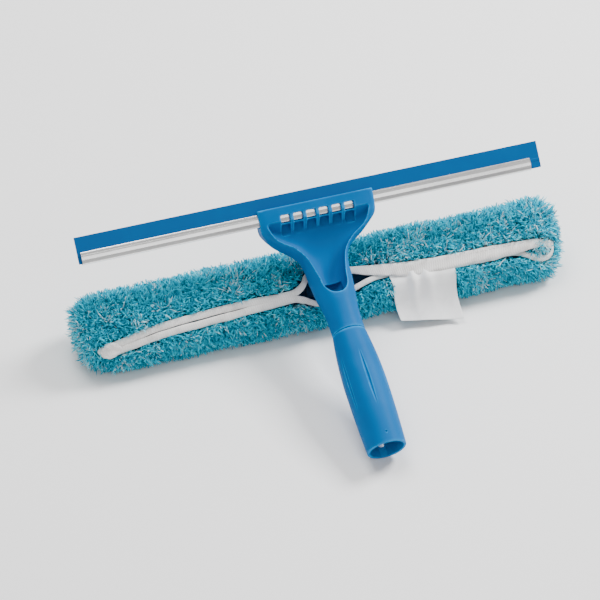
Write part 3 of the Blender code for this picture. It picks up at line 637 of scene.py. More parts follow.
def box_cutter(name: str, boxes: list[tuple[tuple, tuple]], place: Matrix) -> bpy.types.Object:
    """Make a cutter of separate boxes, each given by its lowest and highest corner.

    Args:
        name: the object's name.
        boxes: pairs of corners, in the frame that place gives.
        place: matrix from the shape's frame to the world.

    Returns:
        The cutter.
    """
    shape = bmesh.new()
    for low, high in boxes:
        middle = [(a + b) / 2 for a, b in zip(low, high)]
        size = [b - a for a, b in zip(low, high)]
        place_box = Matrix.Translation(middle) @ Matrix.Diagonal((*size, 1.0))
        bmesh.ops.create_cube(shape, size=1.0, matrix=place_box)
    return bmesh_object(shape, name, place)


def rod_cutter(name: str, radius: float, low: float, high: float, place: Matrix) -> bpy.types.Object:
    """Make a round cutter along Z.

    Args:
        name: the object's name.
        radius: its radius.
        low: where it starts along Z.
        high: where it ends.
        place: matrix from the shape's frame to the world.

    Returns:
        The cutter.
    """
    shape = bmesh.new()
    bmesh.ops.create_cone(shape, cap_ends=True, segments=64, radius1=radius, radius2=radius, depth=high - low,
                          matrix=Matrix.Translation((0.0, 0.0, (low + high) / 2)))
    return bmesh_object(shape, name, place)


def laid_grid(points: np.ndarray, along: np.ndarray, across: np.ndarray) -> bmesh.types.BMesh:
    """Lay a grid of faces over rows of points, with a map in metres.

    Args:
        points: places, as (row, column, xyz).
        along: map distance of each row.
        across: map distance of each column.

    Returns:
        The bmesh, with its map in the layer named cloth.
    """
    rows, columns = points.shape[:2]
    shape = bmesh.new()
    layer = shape.loops.layers.uv.new("cloth")
    bmesh.ops.create_grid(shape, x_segments=columns - 1, y_segments=rows - 1, size=0.5, calc_uvs=True)
    for vert in shape.verts:
        column = round((vert.co.x + 0.5) * (columns - 1))
        row = round((vert.co.y + 0.5) * (rows - 1))
        vert.co = points[row, column]
    for face in shape.faces:
        for loop in face.loops:
            column, row = loop[layer].uv
            loop[layer].uv = (along[round(row * (rows - 1))], across[round(column * (columns - 1))])
    return shape


def walked(points: np.ndarray) -> np.ndarray:
    """Give the distance from the first point to each point of a line."""
    return np.concatenate([[0.0], np.cumsum(np.linalg.norm(np.diff(points, axis=0), axis=1))])


def skin(name: str, rings: np.ndarray, place: Matrix, closed_path: bool = False) -> bpy.types.Object:
    """Join rings of points into one closed skin, with a map in metres along it.

    Args:
        name: the object's name.
        rings: points, as (ring, point, xyz), in the sub-assembly's frame.
        place: matrix from that frame to the world.
        closed_path: whether the last ring meets the first; if not, the two ends are filled.

    Returns:
        The new object.
    """
    if closed_path:
        rings = np.concatenate([rings, rings[:1]])
    points = np.concatenate([rings, rings[:, :1]], axis=1)
    shape = laid_grid(points, walked(rings.mean(axis=1)), walked(points[len(points) // 2]))
    bmesh.ops.remove_doubles(shape, verts=shape.verts, dist=1e-7)
    bmesh.ops.holes_fill(shape, edges=[edge for edge in shape.edges if edge.is_boundary], sides=0)
    bmesh.ops.recalc_face_normals(shape, faces=shape.faces)
    return bmesh_object(shape, name, place)


def soften(item: bpy.types.Object, angle: float = 38.0) -> bpy.types.Object:
    """Shade an object smooth, with edges over the angle kept sharp.

    Args:
        item: the object.
        angle: the largest angle that is smoothed, in degrees.

    Returns:
        The same object.
    """
    item.data.shade_smooth()
    item.data.set_sharp_from_angle(angle=math.radians(angle))
    return item


def dress(item: bpy.types.Object, material: bpy.types.Material, body: Body,
          stands_for: tuple[str, ...] = ()) -> bpy.types.Object:
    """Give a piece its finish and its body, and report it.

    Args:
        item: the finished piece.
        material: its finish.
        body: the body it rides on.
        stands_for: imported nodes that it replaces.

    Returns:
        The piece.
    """
    item.data.materials.clear()
    item.data.materials.append(material)
    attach(item, body.value)
    if stands_for:
        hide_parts(*stands_for)
    LOG.info("%s: %d faces on %s", item.name, len(item.data.polygons), body.value)
    return item


def repaint(frame: dict, node: str, material: bpy.types.Material) -> None:
    """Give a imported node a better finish.

    Args:
        node: the node's name.
        material: its new finish.
    """
    item = frame["nodes"][node]
    for held in item.material_slots:
        held.material = material
    LOG.info("%s keeps its shape", node)


def eased(keys: tuple[tuple[float, float], ...], x: np.ndarray) -> np.ndarray:
    """Read a curve that is flat at each (position, value) key.

    Args:
        keys: (position, value) pairs, in order.
        x: where to read it.

    Returns:
        The values.
    """
    places = np.array([key[0] for key in keys])
    values = np.array([key[1] for key in keys])
    x = np.clip(x, places[0], places[-1])
    index = np.clip(np.searchsorted(places, x, side="right") - 1, 0, len(places) - 2)
    part = (x - places[index]) / (places[index + 1] - places[index])
    return values[index] + (values[index + 1] - values[index]) * part * part * (3 - 2 * part)


def catmull(rows: list[tuple[float, ...]], steps: int) -> np.ndarray:
    """Fill rows of numbers with a smooth curve, so many steps between each two rows.

    Args:
        rows: the rows it passes through.
        steps: how many steps from a row to the next.

    Returns:
        The filled rows.
    """
    keys = np.array(rows)
    filled = []
    for index in range(len(keys) - 1):
        a, b = keys[max(index - 1, 0)], keys[index]
        c, d = keys[index + 1], keys[min(index + 2, len(keys) - 1)]
        for step in range(steps):
            t = step / steps
            filled.append((2 * t ** 3 - 3 * t ** 2 + 1) * b + (t ** 3 - 2 * t ** 2 + t) * (c - a) / 2
                          + (-2 * t ** 3 + 3 * t ** 2) * c + (t ** 3 - t ** 2) * (d - b) / 2)
    return np.array(filled + [keys[-1]])


def squared(turn: np.ndarray, across: float, along: float) -> tuple[np.ndarray, np.ndarray]:
    """Give a circle's two coordinates at each turn, squared off by powers under 1."""
    return (np.sign(np.cos(turn)) * np.abs(np.cos(turn)) ** across,
            np.sign(np.sin(turn)) * np.abs(np.sin(turn)) ** along)


def repeated(name: str, points: np.ndarray, faces: list[list[int]]) -> bpy.types.Object:
    """Make one mesh of many copies of a small shape.

    Args:
        name: the object's name.
        points: corners, as (copy, corner, xyz).
        faces: the small shape's faces, as corner numbers.

    Returns:
        The new object, shaded smooth.
    """
    count, per = points.shape[:2]
    sizes = np.tile([len(face) for face in faces], count)
    corners = np.concatenate(faces)[None, :] + (np.arange(count) * per)[:, None]
    mesh = bpy.data.meshes.new(name)
    mesh.vertices.add(count * per)
    mesh.vertices.foreach_set("co", points.astype(np.float32).ravel())
    mesh.loops.add(corners.size)
    mesh.loops.foreach_set("vertex_index", corners.astype(np.int32).ravel())
    mesh.polygons.add(len(sizes))
    starts = np.concatenate([[0], np.cumsum(sizes)[:-1]])
    mesh.polygons.foreach_set("loop_start", starts.astype(np.int32))
    mesh.update(calc_edges=True)
    mesh.shade_smooth()
    item = bpy.data.objects.new(name, mesh)
    bpy.context.scene.collection.objects.link(item)
    return item


def smoothstep(x: np.ndarray, low: float, high: float) -> np.ndarray:
    """Rise from 0 to 1 between low and high."""
    part = np.clip((x - low) / (high - low), 0.0, 1.0)
    return part * part * (3 - 2 * part)


# ---------------------------------------------------------------- handle
@dataclass
class Grip:
    """Turned grip with a pole socket, finger grooves, lock hole and dimple."""

    length: float = 0.0940
    end_radius: float = 0.01440
    belly_radius: float = 0.01570
    belly_station: float = 0.050
    neck_radius: float = 0.0122
    socket_radius: float = 0.0124
    socket_depth: float = 0.066
    shoulder: float = 0.006
    spigot_bore: float = 0.0095
    seam_gap: float = 0.0003
    lip: float = 0.0007
    rim: float = 0.0005
    rows: int = 110
    groove_count: int = 6
    groove_start: float = 0.029
    groove_end: float = 0.075
    groove_half: float = 0.00095
    groove_depth: float = 0.0010
    hole_radius: float = 0.0025
    hole_station: float = 0.010
    dimple_station: float = 0.008
    dimple_radius: float = 0.0008
    dimple_depth: float = 0.0005

    def radius(self, station: float) -> float:
        """Give the outer radius at a distance from the open end.

        Args:
            station: distance from the open end, in metres.

        Returns:
            The radius.
        """
        if station <= self.belly_station:
            part = 1.0 - station / self.belly_station
            return self.belly_radius - (self.belly_radius - self.end_radius) * part ** 2
        part = (station - self.belly_station) / (self.length - self.belly_station)
        return self.belly_radius - (self.belly_radius - self.neck_radius) * part ** 1.9

    def profile(self) -> list[tuple[float, float]]:
        """Give the closed profile as (radius, station).

        Returns:
            The points, outside first and then the socket.
        """
        top = self.length - self.seam_gap
        quarter = [math.pi / 2 * i / 4 for i in range(5)]
        outer = [(self.end_radius - self.lip * (1 - math.sin(a)), self.lip * (1 - math.cos(a)))
                 for a in quarter]
        for i in range(1, self.rows):
            station = self.lip + (top - self.rim - 0.0001 - self.lip) * i / self.rows
            outer.append((self.radius(station), station))
        outer.append((self.neck_radius, top - self.rim))
        outer.append((self.neck_radius - 0.8 * self.rim, top))
        inner = [
            (self.spigot_bore, top),
            (self.spigot_bore, self.socket_depth + self.shoulder),
            (self.socket_radius, self.socket_depth),
            (self.socket_radius, self.socket_depth / 2),
        ]
        inner += [(self.socket_radius + self.lip * (1 - math.sin(a)), self.lip * (1 - math.cos(a)))
                  for a in reversed(quarter)]
        return outer + inner

    def groove(self, station: float, angle: float) -> float:
        """Give how deep the finger grooves are at a place on the surface.

        Args:
            station: distance from the open end, in metres.
            angle: angle round the grip.

        Returns:
            The depth, 0 between the grooves.
        """
        half_run = (self.groove_end - self.groove_start) / 2
        reach = (station - self.groove_start - half_run) / half_run
        if abs(reach) >= 1.0:
            return 0.0
        pitch = math.tau / self.groove_count
        off = (angle + pitch / 2) % pitch - pitch / 2
        width = self.groove_half * (1 - reach ** 2) + 0.0002
        share = max(0.0, 1.0 - abs(off * self.radius(station)) / width)
        return self.groove_depth * (1 - reach ** 2) * share ** 0.8

    def build(self, layout: Layout) -> bpy.types.Object:
        """Build the grip's mesh.

        Args:
            layout: the tool's frames.

        Returns:
            The grip.
        """
        shape = bmesh.new()
        points = [shape.verts.new((0.0, station, radius)) for radius, station in self.profile()]
        for first, second in zip(points, points[1:] + points[:1]):
            shape.edges.new((first, second))
        bmesh.ops.spin(shape, geom=shape.verts[:] + shape.edges[:], cent=(0, 0, 0), axis=(0, 1, 0),
                       dvec=(0, 0, 0), angle=math.tau, steps=240, use_merge=True)
        bmesh.ops.remove_doubles(shape, verts=shape.verts, dist=1e-6)
        bmesh.ops.recalc_face_normals(shape, faces=shape.faces)
        for vert in shape.verts:
            radius = math.hypot(vert.co.x, vert.co.z)
            if radius > self.socket_radius + self.lip and self.groove_start < vert.co.y < self.groove_end:
                depth = self.groove(vert.co.y, math.atan2(vert.co.x, vert.co.z))
                vert.co.x *= 1 - depth / radius
                vert.co.z *= 1 - depth / radius
        place = layout.tool.matrix()
        grip = bmesh_object(shape, "grip_moulding", place)
        hole = rod_cutter("hole", self.hole_radius, -0.03, -self.socket_radius * 0.6,
                          place @ Matrix.Translation((0, self.hole_station, 0)))
        level = self.radius(self.dimple_station)
        dimple = rod_cutter("dimple", self.dimple_radius, level - self.dimple_depth, level + 0.002,
                            place @ Matrix.Translation((0, self.dimple_station, 0)))
        return soften(carve(grip, [hole, dimple]), 40.0)

    def finish(self, layout: Layout, wardrobe: Wardrobe) -> None:
        """Build and dress the grip."""
        dress(self.build(layout), wardrobe.plastic, Body.HANDLE, ("grip_shell",))


@dataclass
class HandleHead:
    """Neck, trough, windowed plate and channel slot, with softly rounded edges."""

    seam: float = 0.0940
    neck_radius: float = 0.0122
    neck_spread: float = 0.0036
    back_depth: float = 0.0170
    spigot_length: float = 0.023
    spigot_radius: float = 0.0092
    width: float = 0.0875
    top: float = 0.0072
    slot_half: float = 0.00305
    mouth_half: float = 0.0018
    front_wall: float = 0.0026
    back_wall: float = 0.0044
    channel_half: float = 0.0049
    channel_station: float = 0.0922
    channel_forward: float = 0.0208
    lean: float = math.radians(25.0)
    trough_start: float = 0.0285
    trough_half: float = 0.0092
    trough_end: float = 0.0125
    trough_floor: float = -0.0030
    trough_square: float = 0.72
    trough_flare: float = 0.30
    rim_wall: float = 0.0045
    core_radius: float = 0.0070
    core_end: float = 0.0423
    core_forward: float = -0.0015
    window_count: int = 6
    window_width: float = 0.0070
    window_rib: float = 0.00265
    window_drop: float = 0.0064
    bay_foot: float = -0.0140
    bay_floor: float = -0.0034
    stem_top: float = 0.0272
    voxel: float = 0.00055

    def blade_point(self, up: float, front: float) -> tuple[float, float]:
        """Give the tool frame's (Y, Z) of a point in the blade's frame.

        Args:
            up: distance up the blade.
            front: distance in front of it.

        Returns:
            The point's Y and Z.
        """
        y = self.seam + self.channel_station + up * math.cos(self.lean) - front * math.sin(self.lean)
        z = self.channel_forward + up * math.sin(self.lean) + front * math.cos(self.lean)
        return y, z

    def outer_rings(self) -> np.ndarray:
        """Give the rings of the outer skin, from the spigot's foot to the plate's top.

        Returns:
            Points, as (ring, point, xyz).
        """
        seam, neck, back = self.seam, self.neck_radius, self.back_depth
        full = neck + self.neck_spread
        front = self.slot_half + self.front_wall
        rear = -(self.slot_half + self.back_wall)
        rows = [
            (seam, neck, seam, -neck, neck, 2.0),
            (seam + 0.011, neck, seam + 0.011, -neck - 0.0002, neck, 2.0),
            (seam + 0.020, neck + 0.0003, seam + 0.022, -neck - 0.0014, neck + 0.0008, 2.0),
            (seam + 0.0285, neck + 0.0008, seam + 0.033, -back + 0.0012, neck + 0.0022, 2.1),
            (seam + 0.042, neck + 0.0012, seam + 0.048, -back, full, 2.2),
        ]
        stations = [
            (-0.0382, 0.0109, -0.0459, -0.0195, 0.02, 2.4),
            (-0.0304, 0.0086, -0.0376, -0.0205, 0.10, 2.7),
            (-0.0244, 0.0072, -0.0314, -0.0192, 0.30, 3.0),
            (-0.0178, 0.0062, -0.0232, -0.0180, 0.66, 3.6),
            (-0.0118, front, -0.0118, -0.0155, 0.94, 5.0),
            (-0.0045, front, -0.0045, -0.0110, 0.996, 9.0),
            (self.top, front, self.top, rear, 1.0, 12.0),
        ]
        for up, out, back_up, back_out, share, power in stations:
            rows.append((*self.blade_point(up, out), *self.blade_point(back_up, back_out),
                         full + (self.width / 2 - full) * share, power))
        foot = seam - self.spigot_length
        spigot = self.spigot_radius
        rings = [self.ring((foot, spigot, foot, -spigot, spigot, 2.0)),
                 self.ring((seam, spigot, seam, -spigot, spigot, 2.0))]
        rings += [self.ring(row) for row in catmull(rows, 8)]
        return np.array(rings)

    @staticmethod
    def ring(row: tuple[float, ...], count: int = 120) -> np.ndarray:
        """Give a closed ring between ellipse and rectangle, from its front, back, half width and power.

        Args:
            row: (front Y, front Z, back Y, back Z, half width, power).
            count: how many points.

        Returns:
            The points.
        """
        front_y, front_z, back_y, back_z, half, power = row
        across, along = squared(math.tau * (np.arange(count) + 0.5) / count, 2 / power, 2 / power)
        y = (front_y + back_y) / 2 + (front_y - back_y) / 2 * along
        z = (front_z + back_z) / 2 + (front_z - back_z) / 2 * along
        return np.stack([half * across, y, z], axis=1)

    def trough_rings(self) -> np.ndarray:
        """Give the rings of the trough that is cut out of the front.

        Returns:
            Points, as (ring, point, xyz).
        """
        start = self.seam + self.trough_start
        half, floor, above = self.trough_half, self.trough_floor, 0.045
        rows = []
        for i in range(1, 9):
            angle = math.pi / 2 * i / 8
            station = start + self.trough_end * (1 - math.cos(angle))
            rows.append((station, floor, station, above, half * math.sin(angle)))
        spread = self.width / 2 - self.rim_wall - half
        y = self.seam + self.channel_station
        for floor_back, rise, front_back, share in (
            (0.0460, 0.0, 0.0470, 0.03), (0.0375, 0.0015, 0.0395, 0.10), (0.0295, 0.0040, 0.0325, 0.20),
            (0.0220, 0.0075, 0.0250, 0.43), (0.0155, 0.0115, 0.0185, 0.78),
        ):
            rows.append((y - floor_back, floor + rise, y - front_back, above, half + spread * share))
        rows.append((*self.blade_point(-0.0125, -0.0030), *self.blade_point(0.0075, 0.0163),
                     half + spread * 0.97))
        rings = []
        for floor_y, floor_z, front_y, front_z, half_width in catmull(rows, 5):
            across, along = squared(math.pi + math.pi * np.arange(41) / 40, self.trough_square,
                                    self.trough_square)
            share = self.trough_flare * (1 - np.abs(along))
            lower = np.stack([half_width * across, floor_y + (front_y - floor_y) * share,
                              floor_z + (front_z - floor_z) * share], axis=1)
            rim = [(half_width, front_y, front_z), (-half_width, front_y, front_z)]
            rings.append(np.vstack([lower, rim]))
        return np.array(rings)

    def cutters(self, layout: Layout) -> list[bpy.types.Object]:
        """Make everything that is cut out of the head.

        Args:
            layout: the tool's frames.

        Returns:
            The cutters.
        """
        tool, blade, washer = layout.tool.matrix(), layout.blade.matrix(), layout.washer.matrix()
        reach = self.width
        slot = box_cutter("slot", [((-reach, -self.channel_half, -self.slot_half),
                                    (reach, self.channel_half, self.slot_half))], blade)
        mouth = box_cutter("mouth", [((-reach, 0.0, -self.mouth_half),
                                      (reach, 0.02, self.mouth_half))], blade)
        half, shelf = self.window_width / 2, self.channel_half + 0.0010
        pitch = self.window_width + self.window_rib
        middles = [(i - (self.window_count - 1) / 2) * pitch for i in range(self.window_count)]
        windows = [((x - half, -shelf - 0.001, self.slot_half - 0.0004),
                    (x + half, self.top - self.window_drop, 0.02)) for x in middles]
        bays = [((x - half, self.bay_foot, self.bay_floor), (x + half, -shelf, 0.02)) for x in middles]
        along_neck = (tool @ Matrix.Translation((0, self.seam, self.core_forward))
                      @ Matrix.Rotation(math.pi / 2, 4, "X"))
        core = rod_cutter("core", self.core_radius, -self.core_end, self.spigot_length + 0.01, along_neck)
        stem = box_cutter("stem", [((-0.0078, -0.0048, 0.0), (0.0078, 0.0048, self.stem_top))], washer)
        pocket = box_cutter("pocket", [((-0.018, -0.0035, -0.0048), (0.018, 0.0035, 0.0))], blade)
        trough = skin("trough", self.trough_rings(), tool)
        return [trough, core, slot, mouth, box_cutter("windows", windows, blade),
                box_cutter("bays", bays, blade), pocket, stem]

    def build(self, layout: Layout) -> bpy.types.Object:
        """Build the head's mesh, and round its edges as a mould does.

        Args:
            layout: the tool's frames.

        Returns:
            The head.
        """
        head = carve(skin("head_moulding", self.outer_rings(), layout.tool.matrix()), self.cutters(layout))
        grid = head.modifiers.new("rounding_grid", "REMESH")
        grid.mode = "VOXEL"
        grid.voxel_size = self.voxel
        ease = head.modifiers.new("rounding", "SMOOTH")
        ease.factor = 0.5
        ease.iterations = 5
        thin = head.modifiers.new("thinning", "DECIMATE")
        thin.ratio = 0.45
        return soften(baked(head), 60.0)

    def finish(self, layout: Layout, wardrobe: Wardrobe) -> None:
        """Build and dress the head."""
        dress(self.build(layout), wardrobe.plastic, Body.HANDLE, ("handle_head",))


# ---------------------------------------------------------------- blade
def extruded(name: str, outline: list[tuple[float, float]], start: float, length: float,
             place: Matrix) -> bpy.types.Object:
    """Extrude a section along X.

    Args:
        name: the object's name.
        outline: the section as (up, front) points.
        start: where the section starts along X.
        length: how long the piece is.
        place: matrix from the blade's frame to the world.

    Returns:
        The new object.
    """
    shape = bmesh.new()
    face = shape.faces.new([shape.verts.new((start, up, front)) for up, front in outline])
    grown = bmesh.ops.extrude_face_region(shape, geom=[face])
    moved = [part for part in grown["geom"] if isinstance(part, bmesh.types.BMVert)]
    bmesh.ops.translate(shape, verts=moved, vec=(length, 0.0, 0.0))
    bmesh.ops.recalc_face_normals(shape, faces=shape.faces)
    return bmesh_object(shape, name, place)


@dataclass
class ChannelRail:
    """Aluminium channel with a faceted front, a step along it and curled lips over the rubber's bead."""

    length: float = 0.340
    offset: float = -0.0051
    half_height: float = 0.0046
    half_thickness: float = 0.00275
    wall: float = 0.0009
    lip: float = 0.0013
    room: float = 0.00175
    floor: float = -0.0040

    def face(self, side: float) -> list[tuple[float, float]]:
        """Give one face's points from the top to the bottom.

        Args:
            side: 1 for the front, -1 for the back.

        Returns:
            The points.
        """
        top, out = self.half_height, self.half_thickness
        depths = ((top, 1.75), (top - 0.00015, 2.00), (top - 0.0005, 2.20), (0.0026, 2.34), (0.0022, 2.50),
                  (0.0018, 2.66), (0.0012, 2.75), (-0.0010, 2.75), (-0.0017, 2.64), (-0.0021, 2.42),
                  (-0.0024, 2.34), (-0.0037, 1.80), (-0.0041, 1.60), (-0.0044, 1.35), (-top, 1.0))
        return [(up, side * min(depth * 0.001, out)) for up, depth in depths]

    def outline(self) -> list[tuple[float, float]]:
        """Give the section as (up, front) points.

        Returns:
            The points.
        """
        top, lip, room = self.half_height, self.lip, self.room
        under = top - self.wall
        inner = [(top, -lip), (under, -lip), (under - 0.0003, -room), (self.floor, -room),
                 (self.floor, room), (under - 0.0003, room), (under, lip), (top, lip)]
        return inner + self.face(1.0) + self.face(-1.0)[::-1]

    def build(self, layout: Layout) -> bpy.types.Object:
        """Extrude the section along the blade.

        Args:
            layout: the tool's frames.

        Returns:
            The rail.
        """
        rail = extruded("channel_rail", self.outline(), self.offset - self.length / 2, self.length,
                        layout.blade.matrix())
        return soften(rail, 22.0)

    def finish(self, layout: Layout, wardrobe: Wardrobe) -> None:
        """Build and dress the rail."""
        dress(self.build(layout), wardrobe.aluminium, Body.CHANNEL, ("squeegee_channel",))


@dataclass
class BladeStrip:
    """Rubber blade with a square working edge and a bead that the channel holds."""

    length: float = 0.350
    offset: float = -0.0023
    top: float = 0.0158
    bottom: float = -0.0037
    half: float = 0.0010
    bead: float = 0.00125

    def outline(self) -> list[tuple[float, float]]:
        """Give the section as (up, front) points.

        Returns:
            The points.
        """
        half = self.half
        side = [(self.top, half - 0.0001), (self.top - 0.0001, half), (0.0052, half), (0.0034, half),
                (0.0030, self.bead), (0.0014, self.bead), (0.0010, half), (self.bottom + 0.0003, half),
                (self.bottom, half - 0.0003)]
        return side + [(up, -front) for up, front in reversed(side)]

    def build(self, layout: Layout) -> bpy.types.Object:
        """Extrude the section along the blade.

        Args:
            layout: the tool's frames.

        Returns:
            The strip.
        """
        strip = extruded("blade_strip", self.outline(), self.offset - self.length / 2, self.length,
                         layout.blade.matrix())
        return soften(strip, 22.0)

    def finish(self, layout: Layout, wardrobe: Wardrobe) -> None:
        """Build and dress the blade."""
        dress(self.build(layout), wardrobe.rubber, Body.BLADE, ("rubber_blade",))


# ---------------------------------------------------------------- sleeve
@dataclass(frozen=True)
class SleeveShape:
    """The washer sleeve's surface in the washer's frame; angles run from the stem's side towards the grip."""

    length: float = 0.362
    middle: float = -0.0019
    half_width: float = 0.0260
    half_depth: float = 0.0185

    def scale(self, x: np.ndarray) -> np.ndarray:
        """Give the share of the full section, which rounds off towards the ends."""
        reach = np.clip(np.abs(x - self.middle) / (self.length / 2), 0.0, 1.0)
        return np.maximum(1.0 - reach ** 16, 0.0) ** 0.25

    def point(self, x: np.ndarray, angle: np.ndarray, lift: np.ndarray | float) -> np.ndarray:
        """Give points at an angle from the stem's side, lifted off the surface.

        Args:
            x: places along the sleeve, in metres.
            angle: angles round the sleeve.
            lift: how far above the surface, in metres.

        Returns:
            The points, in the last axis.
        """
        x, angle, lift = np.broadcast_arrays(x, angle, lift)
        scale = self.scale(x)
        y = -(self.half_width * scale + lift) * np.sin(angle)
        z = (self.half_depth * scale + lift) * np.cos(angle)
        return np.stack([x, y, z], axis=-1)

    def girth(self, angle: np.ndarray) -> np.ndarray:
        """Give metres of surface per radian at an angle."""
        return np.hypot(self.half_width * np.cos(angle), self.half_depth * np.sin(angle))


@dataclass
class SleeveCore:
    """Knitted tube inside the pile, swollen a little by a cloth simulation."""

    squeeze: tuple[float, float] = (0.955, 0.945)
    voxel: float = 0.0032
    most_move: float = 0.0015

    def build(self, layout: Layout, frame: dict) -> bpy.types.Object:
        """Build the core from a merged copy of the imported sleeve.

        Args:
            layout: the tool's frames.

        Returns:
            The core.
        """
        shape = bmesh.new()
        shape.from_mesh(frame["nodes"]["washer_sleeve"].data)
        bmesh.ops.remove_doubles(shape, verts=shape.verts, dist=1e-6)
        place = layout.washer.matrix()
        squeeze = place @ Matrix.Diagonal((0.992, *self.squeeze, 1.0)) @ place.inverted()
        core = bmesh_object(shape, "sleeve_core", squeeze)
        grid = core.modifiers.new("grid", "REMESH")
        grid.mode = "VOXEL"
        grid.voxel_size = self.voxel
        baked(core)
        self.swell(core)
        fine = core.modifiers.new("fine", "SUBSURF")
        fine.levels = 1
        fine.render_levels = 1
        baked(core)
        return soften(core, 80.0)

    def swell(self, core: bpy.types.Object) -> None:
        """Run the cloth simulation and cap how far each point moves.

        Args:
            core: the remeshed core, changed in place.
        """
        count = len(core.data.vertices)
        before = np.zeros(count * 3)
        core.data.vertices.foreach_get("co", before)
        cloth = core.modifiers.new("cloth", "CLOTH")
        cloth.settings.use_pressure = True
        cloth.settings.uniform_pressure_force = 4.0
        cloth.settings.effector_weights.gravity = 0.0
        cloth.settings.quality = 4
        scene = bpy.context.scene
        for number in range(1, 21):
            scene.frame_set(number)
        baked(core)
        scene.frame_set(1)
        after = np.zeros(count * 3)
        core.data.vertices.foreach_get("co", after)
        move = (after - before).reshape(-1, 3)
        length = np.linalg.norm(move, axis=1, keepdims=True)
        move *= np.minimum(1.0, self.most_move / np.maximum(length, 1e-9))
        core.data.vertices.foreach_set("co", (before.reshape(-1, 3) + move).ravel())
        core.data.update()

    def finish(self, layout: Layout, wardrobe: Wardrobe, frame: dict) -> None:
        """Build and dress the core."""
        core = dress(self.build(layout, frame), wardrobe.backing, Body.WASHER, ("washer_sleeve",))


@dataclass(frozen=True)
class TapeKey:
    """A place on the binding's middle line: X, angle in degrees, lift and half width."""

    x: float
    degrees: float
    lift: float
    half: float


UPPER_TAPE = (
    TapeKey(-0.1712, 40.0, 0.0012, 0.00262), TapeKey(-0.1660, 34.0, 0.0010, 0.00262),
    TapeKey(-0.1575, 29.7, 0.0008, 0.00262), TapeKey(-0.1345, 19.6, 0.0008, 0.00262),
    TapeKey(-0.1116, 14.4, 0.0008, 0.00262), TapeKey(-0.0964, 12.6, 0.0008, 0.00262),
    TapeKey(-0.0736, 10.4, 0.0008, 0.00262), TapeKey(-0.0507, 10.3, 0.0008, 0.0027),
    TapeKey(-0.0355, 11.1, 0.0008, 0.0025), TapeKey(-0.0250, 10.2, 0.0010, 0.0025),
    TapeKey(-0.0190, 5.0, 0.0013, 0.0024), TapeKey(-0.0150, -3.0, 0.0015, 0.0022),
    TapeKey(-0.0122, -12.0, 0.0008, 0.0021), TapeKey(-0.0040, -19.0, -0.0006, 0.0021),
    TapeKey(0.0060, -18.0, -0.0002, 0.0023), TapeKey(0.0140, -12.0, 0.0006, 0.0026),
    TapeKey(0.0210, -7.6, 0.0008, 0.00262), TapeKey(0.0350, -0.5, 0.0010, 0.0036),
    TapeKey(0.0500, 5.0, 0.0013, 0.0044), TapeKey(0.0650, 10.5, 0.0016, 0.0050),
    TapeKey(0.0880, 12.8, 0.0016, 0.0051), TapeKey(0.1190, 14.0, 0.0016, 0.0051),
    TapeKey(0.1340, 14.3, 0.0015, 0.0049), TapeKey(0.1500, 13.5, 0.0014, 0.0042),
    TapeKey(0.1620, 13.6, 0.0014, 0.0034), TapeKey(0.1710, 18.0, 0.0016, 0.0029),
    TapeKey(0.1762, 28.0, 0.0016, 0.0026), TapeKey(0.1762, 39.0, 0.0016, 0.0025),
)
LOWER_TAPE = (
    TapeKey(0.1705, 46.5, 0.0014, 0.0024), TapeKey(0.1620, 40.5, 0.0010, 0.0024),
    TapeKey(0.1540, 30.0, -0.0008, 0.0022), TapeKey(0.1440, 22.0, -0.0028, 0.0026),
    TapeKey(0.1190, 15.0, -0.0034, 0.0028), TapeKey(0.0880, 13.0, -0.0034, 0.0028),
    TapeKey(0.0650, 11.0, -0.0032, 0.0026), TapeKey(0.0500, 12.0, -0.0026, 0.0023),
    TapeKey(0.0420, 12.8, -0.0014, 0.0021), TapeKey(0.0360, 13.6, -0.0002, 0.0020),
    TapeKey(0.0294, 16.5, 0.0006, 0.0020), TapeKey(0.0220, 21.5, 0.0008, 0.0020),
    TapeKey(0.0140, 30.0, 0.0004, 0.0021), TapeKey(0.0060, 36.0, 0.0000, 0.0021),
    TapeKey(-0.0030, 38.0, 0.0000, 0.0021), TapeKey(-0.0090, 35.0, 0.0006, 0.0021),
    TapeKey(-0.0135, 29.5, 0.0010, 0.0022), TapeKey(-0.0180, 24.0, 0.0011, 0.0024),
    TapeKey(-0.0250, 19.4, 0.0008, 0.0025), TapeKey(-0.0355, 20.4, 0.0008, 0.0026),
    TapeKey(-0.0507, 21.1, 0.0008, 0.0027), TapeKey(-0.0736, 23.8, 0.0008, 0.0029),
    TapeKey(-0.0964, 26.2, 0.0008, 0.00262), TapeKey(-0.1116, 27.6, 0.0008, 0.00262),
    TapeKey(-0.1345, 32.8, 0.0008, 0.00262), TapeKey(-0.1575, 42.0, 0.0008, 0.00262),
    TapeKey(-0.1660, 47.0, 0.0010, 0.00262),
)


